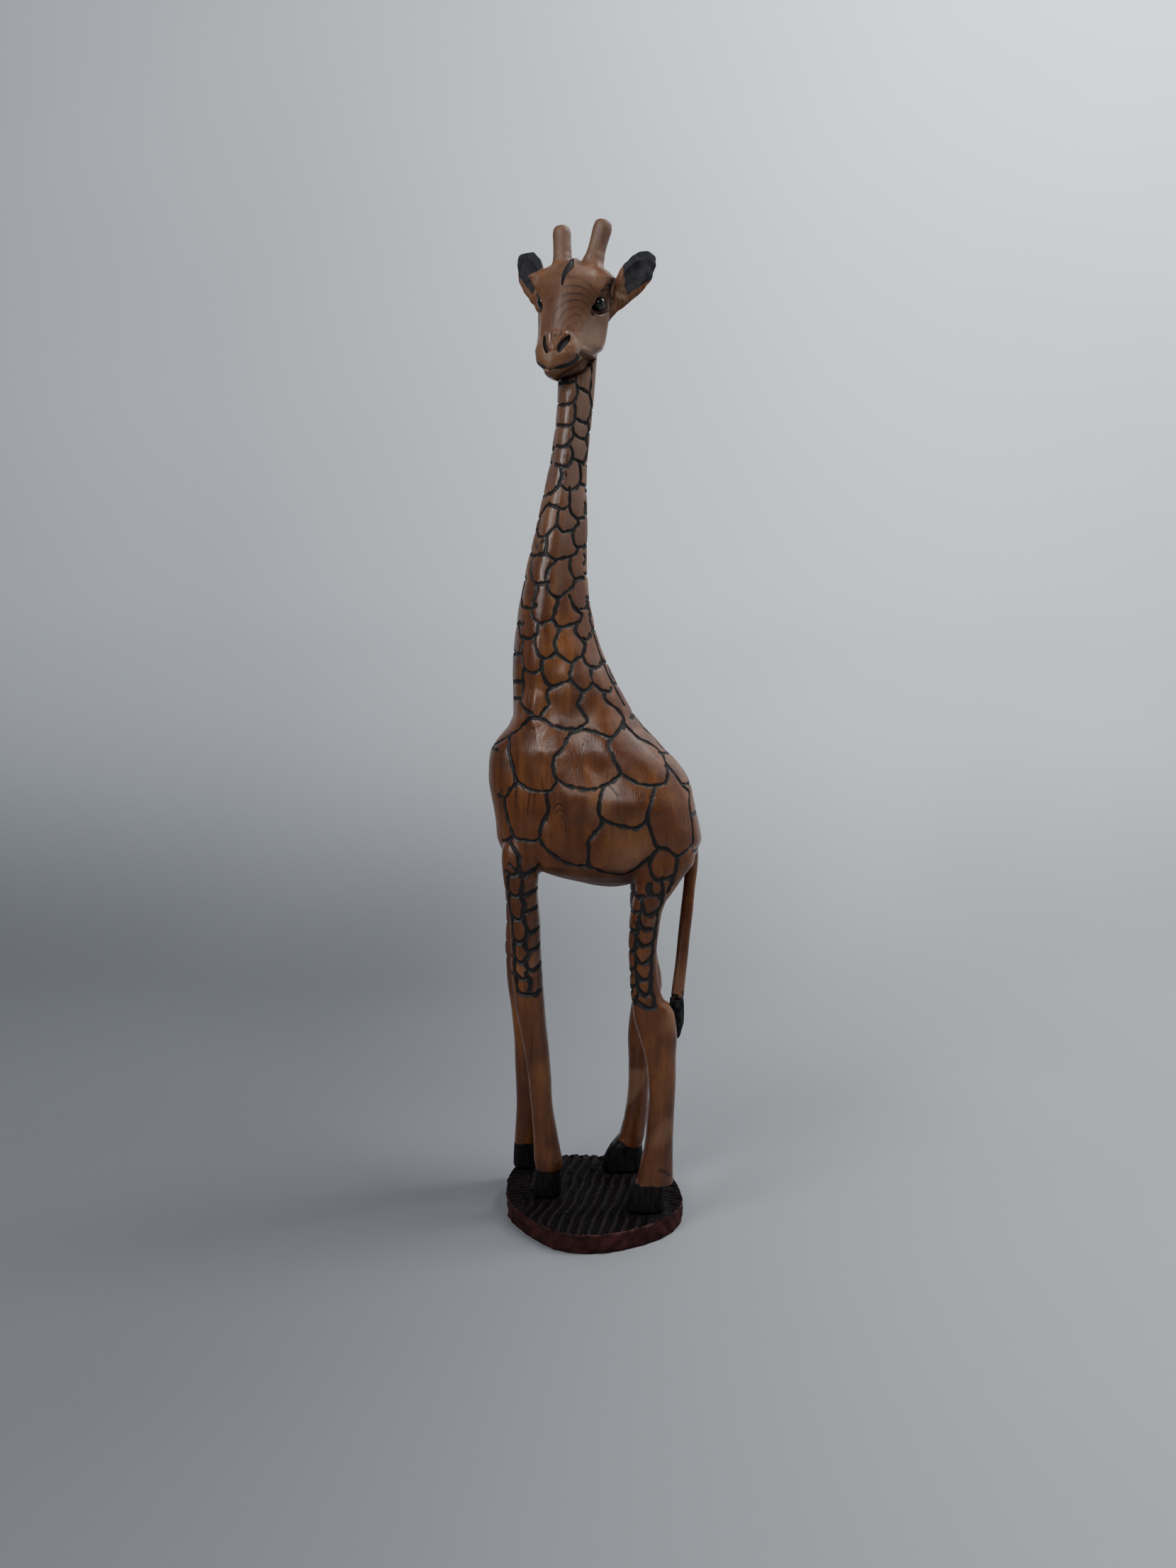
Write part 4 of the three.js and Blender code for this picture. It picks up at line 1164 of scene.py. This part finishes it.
def eye_gloss():
    g = Graph("eye_gloss")
    where = g.place()
    cloud = g.noise(where, 380.0, 3.0)
    colour = g.mix(g.between(cloud, 0.35, 0.68), (0.0035, 0.005, 0.0035), (0.014, 0.020, 0.011))
    rough = g.between(g.noise(where, 900.0, 2.0), 0.3, 0.7, 0.16, 0.3)
    g.bump(cloud, 0.12, 0.2 * MM)
    return g.finish(colour, rough, Coat_Weight=0.15, Coat_Roughness=0.06, Specular_IOR_Level=0.4)


WOOD = carved_wood()
BLACK = blackened_wood()
PLINTH = stained_base()
GLOSS = eye_gloss()


# ---------------------------------------------------------------- trunk, legs and tail rod

co, quads = remeshed(rough_co, [tuple(q) for q in rough_quads], FINE_VOXEL)
co = smoothed(co, quads, 0.5, 3, 0.9)
cuts = [level(HOOF_TOP), level(HIP), level(COLLAR), level(TAIL_ROOT, least_x=70 * MM)]
cuts.append(slanted(throat_point, throat_normal, least_z=730 * MM))
co, tri = planes_inserted(co, quads, cuts)
tree = BVHTree.FromPolygons(co.tolist(), tri.tolist())
normals = vertex_normals(co, tri)
co += normals * (0.28 * MM * waves(co, 0.05, 3) * ramp(co[:, 2], 0.04, 0.06))[:, None]
co = crests(co, normals, tree)
normals = vertex_normals(co, tri)
tree = BVHTree.FromPolygons(co.tolist(), tri.tolist())
lines = coat_lines(tree)
co, burn_and_shade = scored(co, normals, lines)
z = co[:, 2]
collar = above_throat(co) / MM
# The neck is darker in a band close under the jaw.
shade = ramp(collar, -4.5, -0.5) * ramp(z, 0.70, 0.74) * 0.4
burn_and_shade = np.maximum(burn_and_shade, shade)
# The black of the hooves ends in a ragged line, which on the right hind leg rises towards the toe.
toe = (co[:, 0] > 0) & (co[:, 1] > 0)
edge_z = np.where(toe, 0.0497 - 0.53 * (co[:, 0] - 0.0313), 0.044) + 0.8 * MM * waves(co, 0.012, 13)
scorch_and_shade = ramp(z - edge_z, 2.2 * MM, -0.8 * MM) + 0.35 * ramp(z - edge_z, 0.05, 0.0)
# The black of the tuft runs a little way up the tail and over the hock beside it.
low_z = z + 2.5 * MM * waves(co, 0.008, 15)
behind = ramp(co[:, 0], 0.0715, 0.0745) * (co[:, 1] > -0.043) * (co[:, 1] < -0.015)
scorch_and_shade = np.maximum(scorch_and_shade, behind * ramp(low_z, 0.221, 0.215) * ramp(low_z, 0.186, 0.193))
# The wax is worn off in patches, and on the tail rod above the tuft.
wear_and_sheen = ramp(waves(co, 0.06, 5), 0.9, 2.2) * 0.5
wear_and_sheen += 0.45 * ramp(z, 0.26, 0.22) * (co[:, 0] > 0.072) * ramp(z, 0.2, 0.22)
oval = np.hypot((co[:, 0] - PITH_X) / OVAL[0], (z - KNOT) / OVAL[1])
oval = np.exp(-(((oval - 0.85) / 0.28) ** 2)) * (co[:, 1] < 0)
# The wax has gone dull over the back and the rump.
worn_back = ramp(normals[:, 0] + 0.5 * normals[:, 2], 0.3, 0.6) * ramp(z, 0.36, 0.42)
values = {
    "burn_and_shade": burn_and_shade,
    "scorch_and_shade": scorch_and_shade,
    "wear_and_sheen": wear_and_sheen,
    "dull": np.maximum(0.9 * ramp(normals[:, 2], -0.35, -0.7), worn_back),
    "rings": oval,
    # Painted sheen: the upper neck is greyed as a painted reflection.
    "painted_sheen": 0.7 * ramp(z, 0.56, 0.70),
}
normals = vertex_normals(co, tri)
co = kept_in_box(co)
names = region_of(co, tri)
names[above_throat(co[tri].mean(1)) > 0] = ""
for name in sorted(set(names) - {""}):
    got, faces, corner_normals, kept = capped(co, tri[names == name], normals, values)
    black = name.startswith("hoof")
    if black:
        kept = {"root": 0.0 * kept["burn_and_shade"], "sooty": 0.0 * kept["burn_and_shade"]}
    slot, material = ("blackened_wood", BLACK) if black else ("carved_wood", WOOD)
    piece(name + "_carved", got, faces, kept, material, corner_normals, name)

# ---------------------------------------------------------------- head and horns

whole = (rough_co[:, 2] > 710 * MM)[rough_quads].all(1)
used, index = np.unique(rough_quads[whole], return_inverse=True)
head_co, head_tri, _, _ = capped(rough_co[used], halved(index.reshape(-1, 4)), np.zeros((len(used), 3)), {})
co, quads = remeshed(head_co, [tuple(t) for t in head_tri], FACE_VOXEL)
co = smoothed(co, quads, 0.5, 2, 0.9)
horn_cut = HEAD_AT + CROWNWARD * HORN_FOOT * MM
cuts = [slanted(throat_point, throat_normal), slanted(horn_cut, CROWNWARD)]
co, tri = planes_inserted(co, quads, cuts)
normals = vertex_normals(co, tri)
h = head_frame(co)
co += normals * (0.22 * MM * waves(co, 0.03, 8) + 0.7 * MM * ramp(h[:, 2], 63, 70))[:, None]
co, dark = faced(co, normals)
co = kept_in_box(co)
normals = vertex_normals(co, tri)
h = head_frame(co)
# The side planes of the face begin at the crisp edge below each eye.
side_edge = np.interp(h[:, 2], [-20, -10, 0, 9, 19, 30, 48], [18, 18, 18.5, 20.5, 24.5, 30, 38])
cheek = ramp(abs(h[:, 1]) - side_edge, -1.0, 0.8)
chin = ramp(h[:, 0], 14, 22) * ramp(h[:, 2], -25, -31)
muzzle = ramp(h[:, 0], 26, 32) * ramp(h[:, 2], -4, -10)
values = {
    # Burnt marks of the face, with the painted shade of the eye sockets and the hollow under the jaw.
    "burn_and_shade": dark,
    # Painted shade: surfaces facing up on top of the head are darkened.
    "scorch_and_shade": 0.38 * ramp(normals @ CROWNWARD, 0.35, 0.9) * ramp(h[:, 2], 30, 40),
    # Painted sheen on the cheeks, painted light under the chin and a painted highlight on the muzzle, with a
    # little wear at random.
    "wear_and_sheen": (0.6 + 0.2 * (h[:, 1] < 0)) * cheek * ramp(h[:, 2], 30, 15) * ramp(h[:, 2], -16, -13)
    + 0.9 * chin
    + 0.35 * muzzle
    + 0.12 * ramp(waves(co, 0.03, 9), 0.5, 2),
    "dull": 0.25 + 0.75 * ramp(h[:, 2], -6, 4),
    "rings": 0.7
    * (1 - cheek)
    * ramp(normals @ FORWARD, 0.1, 0.5)
    * ramp(np.hypot(h[:, 1] - 6, (h[:, 2] - 22) * 0.8), 32, 12),
    "warm": (1 - cheek) * ramp(h[:, 2], 60, 46),
    # Painted sheen: the face is greyed a little all over, and more on cheeks, chin and crown, as a painted
    # reflection.
    "painted_sheen": 0.1 + 0.9 * np.maximum(np.maximum(cheek, 0.8 * chin), 0.65 * ramp(h[:, 2], 58, 64)),
}
centre = co[tri].mean(1)
top = (centre - horn_cut) @ CROWNWARD > 0
above = above_throat(centre) > 0
left = (centre - HEAD_AT) @ LEFTWARD > 0
for name, rows in (("head", above & ~top), ("horn_left", top & left), ("horn_right", top & ~left)):
    got, faces, corner_normals, kept = capped(co, tri[rows], normals, values)
    piece(name + "_carved", got, faces, kept, WOOD, corner_normals, name)

# ---------------------------------------------------------------- ears, tuft, eyes, base


def lone(name, voxel, by=0.0):
    """A finer skin over one CAD node."""
    co, quads = remeshed(*grown(name, by), voxel)
    co = smoothed(co, quads, 0.45, 3, 0.9)
    return co, halved(quads)


EAR_TIPS = {"ear_left": 0.8735, "ear_right": 0.884}  # height of each tip
for name, side in (("ear_left", 1), ("ear_right", -1)):
    co, tri = lone(name, FACE_VOXEL)
    normals = vertex_normals(co, tri)
    co += normals * (0.22 * MM * waves(co, 0.012, 21 + side))[:, None]
    h = head_frame(co)
    front = normals @ FORWARD
    # Along the leaf from its foot, and across it towards its lower edge.
    away, rise = side * h[:, 1] - 31, h[:, 2] - 26
    along = 0.456 * away + 0.89 * rise + 0.7 * waves(co, 0.008, 23)
    across = 0.89 * away - 0.456 * rise
    black = np.minimum(ramp(along + 1.2 * across, 23, 25), ramp(along - 3 * (across - 6.5), 20, 23))
    root = np.maximum(1 - black, ramp(front, -0.15, -0.4) * 0.85)
    # The tips are cut off nearly level.
    tip = EAR_TIPS[name]
    over = np.maximum(0, co[:, 2] - tip + 1.2 * MM)
    co[:, 2] -= over - 1.2 * MM * np.tanh(over / (1.2 * MM))
    co = kept_in_box(co)
    values = {"root": np.clip(root, 0, 1), "sooty": np.ones(len(co))}
    piece(name + "_carved", co, tri, values, BLACK, stands_for=name)

co, tri = lone("tail_tuft", 0.8 * MM, GROW)
normals = vertex_normals(co, tri)
co += normals * (0.5 * MM * waves(co * [1, 1, 0.25], 0.006, 31))[:, None]
values = {"root": 0 * co[:, 0], "sooty": 0.7 * ramp(waves(co, 0.01, 32), -1, 1)}
piece("tail_tuft_carved", kept_in_box(co), tri, values, BLACK, stands_for="tail_tuft")

EYE_RINGS = 28  # rows of points from the front of an eye to its back
EYE_AROUND = 44
for name, side in (("eye_left", 1), ("eye_right", -1)):
    low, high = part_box(name)
    middle = np.array((low + high) / 2)
    radius = (high.z - low.z) / 2
    look = side * LEFTWARD * 0.86 + FORWARD * 0.5
    look /= np.linalg.norm(look)
    across = np.cross(UP, look)
    across /= np.linalg.norm(across)
    upward = np.cross(look, across)
    co = [middle + look * radius * 0.97]
    for i in range(1, EYE_RINGS):
        polar = math.pi * i / EYE_RINGS
        # A shallow step runs round the pupil.
        r = radius * (0.985 - 0.03 * math.exp(-(((polar - 0.5) / 0.07) ** 2)))
        for k in range(EYE_AROUND):
            a = 2 * math.pi * k / EYE_AROUND
            flat = math.sin(polar) * (math.cos(a) * across + math.sin(a) * upward)
            co.append(middle + r * (math.cos(polar) * look + flat))
    co.append(middle - look * radius * 0.97)
    tri = []
    for k in range(EYE_AROUND):
        n = (k + 1) % EYE_AROUND
        tri.append((0, 1 + k, 1 + n))
        for i in range(EYE_RINGS - 2):
            a, b = 1 + i * EYE_AROUND, 1 + (i + 1) * EYE_AROUND
            tri += [(a + k, b + k, b + n), (a + k, b + n, a + n)]
        last = 1 + (EYE_RINGS - 2) * EYE_AROUND
        tri.append((last + k, len(co) - 1, last + n))
    piece(name + "_ball", np.array(co), np.array(tri), {}, GLOSS, stands_for=name)

# Spacing of the gouge rows on the base: over its top, near its edge and along its back rim.
WIDE_ROWS = 9.8 * MM
NARROW_ROWS = 6.0 * MM
RIM_ROWS = 10.5 * MM
co, tri = lone("base", (1.25) * MM)
normals = vertex_normals(co, tri)
x, y, z = co.T
up = ramp(normals[:, 2], 0.5, 0.9)
clear = np.ones(len(co))
for leg in LEGS:
    a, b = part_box("hoof_" + leg)
    outside = np.maximum(np.maximum(a.x - x, x - b.x), np.maximum(a.y - y, y - b.y))
    clear *= ramp(outside, -1 * MM, 5 * MM)
edge = ramp(abs(x) + 1.5 * MM * waves(co, 0.02, 45), 0.052, 0.060)
slant = x - 0.22 * y + 1.6 * MM * waves(co * [0.2, 1, 0], 0.05, 41)
wide = 0.5 + 0.5 * np.cos(2 * math.pi * slant / WIDE_ROWS)
radial = y * np.sign(x) * 0.95 + 0.25 * x + 0.8 * MM * waves(co * [1, 0.2, 0], 0.04, 44)
narrow = 0.5 + 0.5 * np.cos(2 * math.pi * radial / NARROW_ROWS)
furrow = (1 - edge) * (1 - wide) ** 1.3 * 3.2 + edge * (1 - narrow) * 2.0
scallop = ramp(y, 0.060, 0.074) * (0.5 + 0.5 * np.cos(2 * math.pi * x / RIM_ROWS)) * 2.2
hew = 0.45 * (waves(co, 0.014, 42) + 1.2)
inward = (1 - up) * (hew + scallop)
down = up * clear * (furrow + 0.25 * (waves(co, 0.008, 43) + 1))
co = co - normals * ((inward * ramp(z, 0.0, 1.2 * MM)) * MM)[:, None]
co[:, 2] -= down * MM
# The stain is deepest in the furrows and round the hooves.
crest = up * np.clip(1 - furrow / 1.9, 0, 1) ** 1.5 * (0.25 + 0.75 * clear)
lip = (1 - up) * ramp(z, 15.5 * MM, 18.5 * MM) * ramp(waves(co, 0.025, 46), -0.6, 0.6)
values = {"rim": 1 - up, "crest": crest, "lip": lip}
piece("base_carved", kept_in_box(co), tri, values, PLINTH, stands_for="base")

# ---------------------------------------------------------------- room, light and camera


def plain_room():
    floor = Graph("floor")
    where = floor.place()
    soft = floor.noise(where, 1.1, 2.0)
    pale = floor.mix(floor.between(soft, 0.3, 0.7), (0.80, 0.825, 0.85), (0.86, 0.885, 0.91))
    grey = floor.mix(floor.between(soft, 0.3, 0.7), (0.325, 0.327, 0.34), (0.355, 0.357, 0.37))
    x, _, z = floor.apart(where)[:3]
    # Painted shade: the left of the room is darker than the right, more so on the floor.
    grey = floor.mix(floor.between(x, 0.62, -0.42), grey, (0.36, 0.365, 0.39), "MULTIPLY")
    pale = floor.mix(floor.between(x, 0.7, -0.8), pale, (0.70, 0.71, 0.735), "MULTIPLY")
    colour = floor.mix(floor.between(z, -0.1, 0.7), grey, pale)
    floor.bump(floor.noise(where, 240.0, 2.0), 0.05, 0.4 * MM)
    floor.finish(colour, 0.9)
    back, rise, bend, half = 1.3, 3.2, 0.55, 4.0
    rows = [(-4.0, 0.0)]
    for a in np.linspace(0, math.pi / 2, 14):
        rows.append((back - bend + bend * math.sin(a), bend - bend * math.cos(a)))
    rows.append((back, rise))
    co = [(side * half, y, z) for y, z in rows for side in (-1, 1)]
    faces = [(2 * i, 2 * i + 1, 2 * i + 3, 2 * i + 2) for i in range(len(rows) - 1)]
    room = new_object("room", np.array(co), faces)
    room.data.shade_smooth()
    room.data.materials.append(floor.material)
    room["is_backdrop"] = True


def soft_light(name, place, target, size, watts, colour):
    data = bpy.data.lights.new(name, "AREA")
    data.shape = "RECTANGLE"
    data.size, data.size_y = size
    data.energy = watts
    data.color = colour
    obj = bpy.data.objects.new(name, data)
    bpy.context.scene.collection.objects.link(obj)
    obj.location = place
    aim = Vector(target) - Vector(place)
    obj.rotation_euler = aim.to_track_quat("-Z", "Y").to_euler()


# Name, place, target, size, watts and colour.
LIGHTS = (
    ("window", (-1.2, -1.25, 1.6), (0, 0, 0.62), (0.8, 1.6), 28, (0.95, 0.98, 1.0)),
    ("broad_window", (-0.35, -1.7, 1.4), (0, 0, 0.45), (0.8, 0.35), 6, (0.95, 0.98, 1.0)),
    ("fill", (2.1, -0.5, 1.2), (0, 0, 0.6), (1.4, 1.8), 9, (1.0, 0.98, 0.95)),
    ("wall_wash", (1.5, 0.1, 2.9), (0.7, 1.3, 0.9), (2.0, 0.8), 85, (0.94, 0.98, 1.0)),
)
plain_room()
for light in LIGHTS:
    soft_light(*light)
world = bpy.data.worlds.new("studio")
world.use_nodes = True
sky = world.node_tree.nodes["Background"]
sky.inputs[0].default_value = (0.78, 0.84, 0.92, 1)
sky.inputs[1].default_value = 0.10
bpy.context.scene.world = world

SENSOR = 36.0  # mm
LENS = 26.04  # mm
CAMERA_AT = (0.0, -1.0337, 0.5154)
CAMERA_DOWN = 6  # degrees below level
camera_data = bpy.data.cameras.new("camera")
camera_data.sensor_width = SENSOR
camera_data.lens = LENS
camera_data.clip_start = 0.01
camera_data.clip_end = 50
camera_data.dof.use_dof = False
camera = bpy.data.objects.new("camera", camera_data)
bpy.context.scene.collection.objects.link(camera)
camera.location = CAMERA_AT
camera.rotation_euler = (math.radians(90 - CAMERA_DOWN), 0, 0)
bpy.context.scene.camera = camera

low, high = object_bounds()
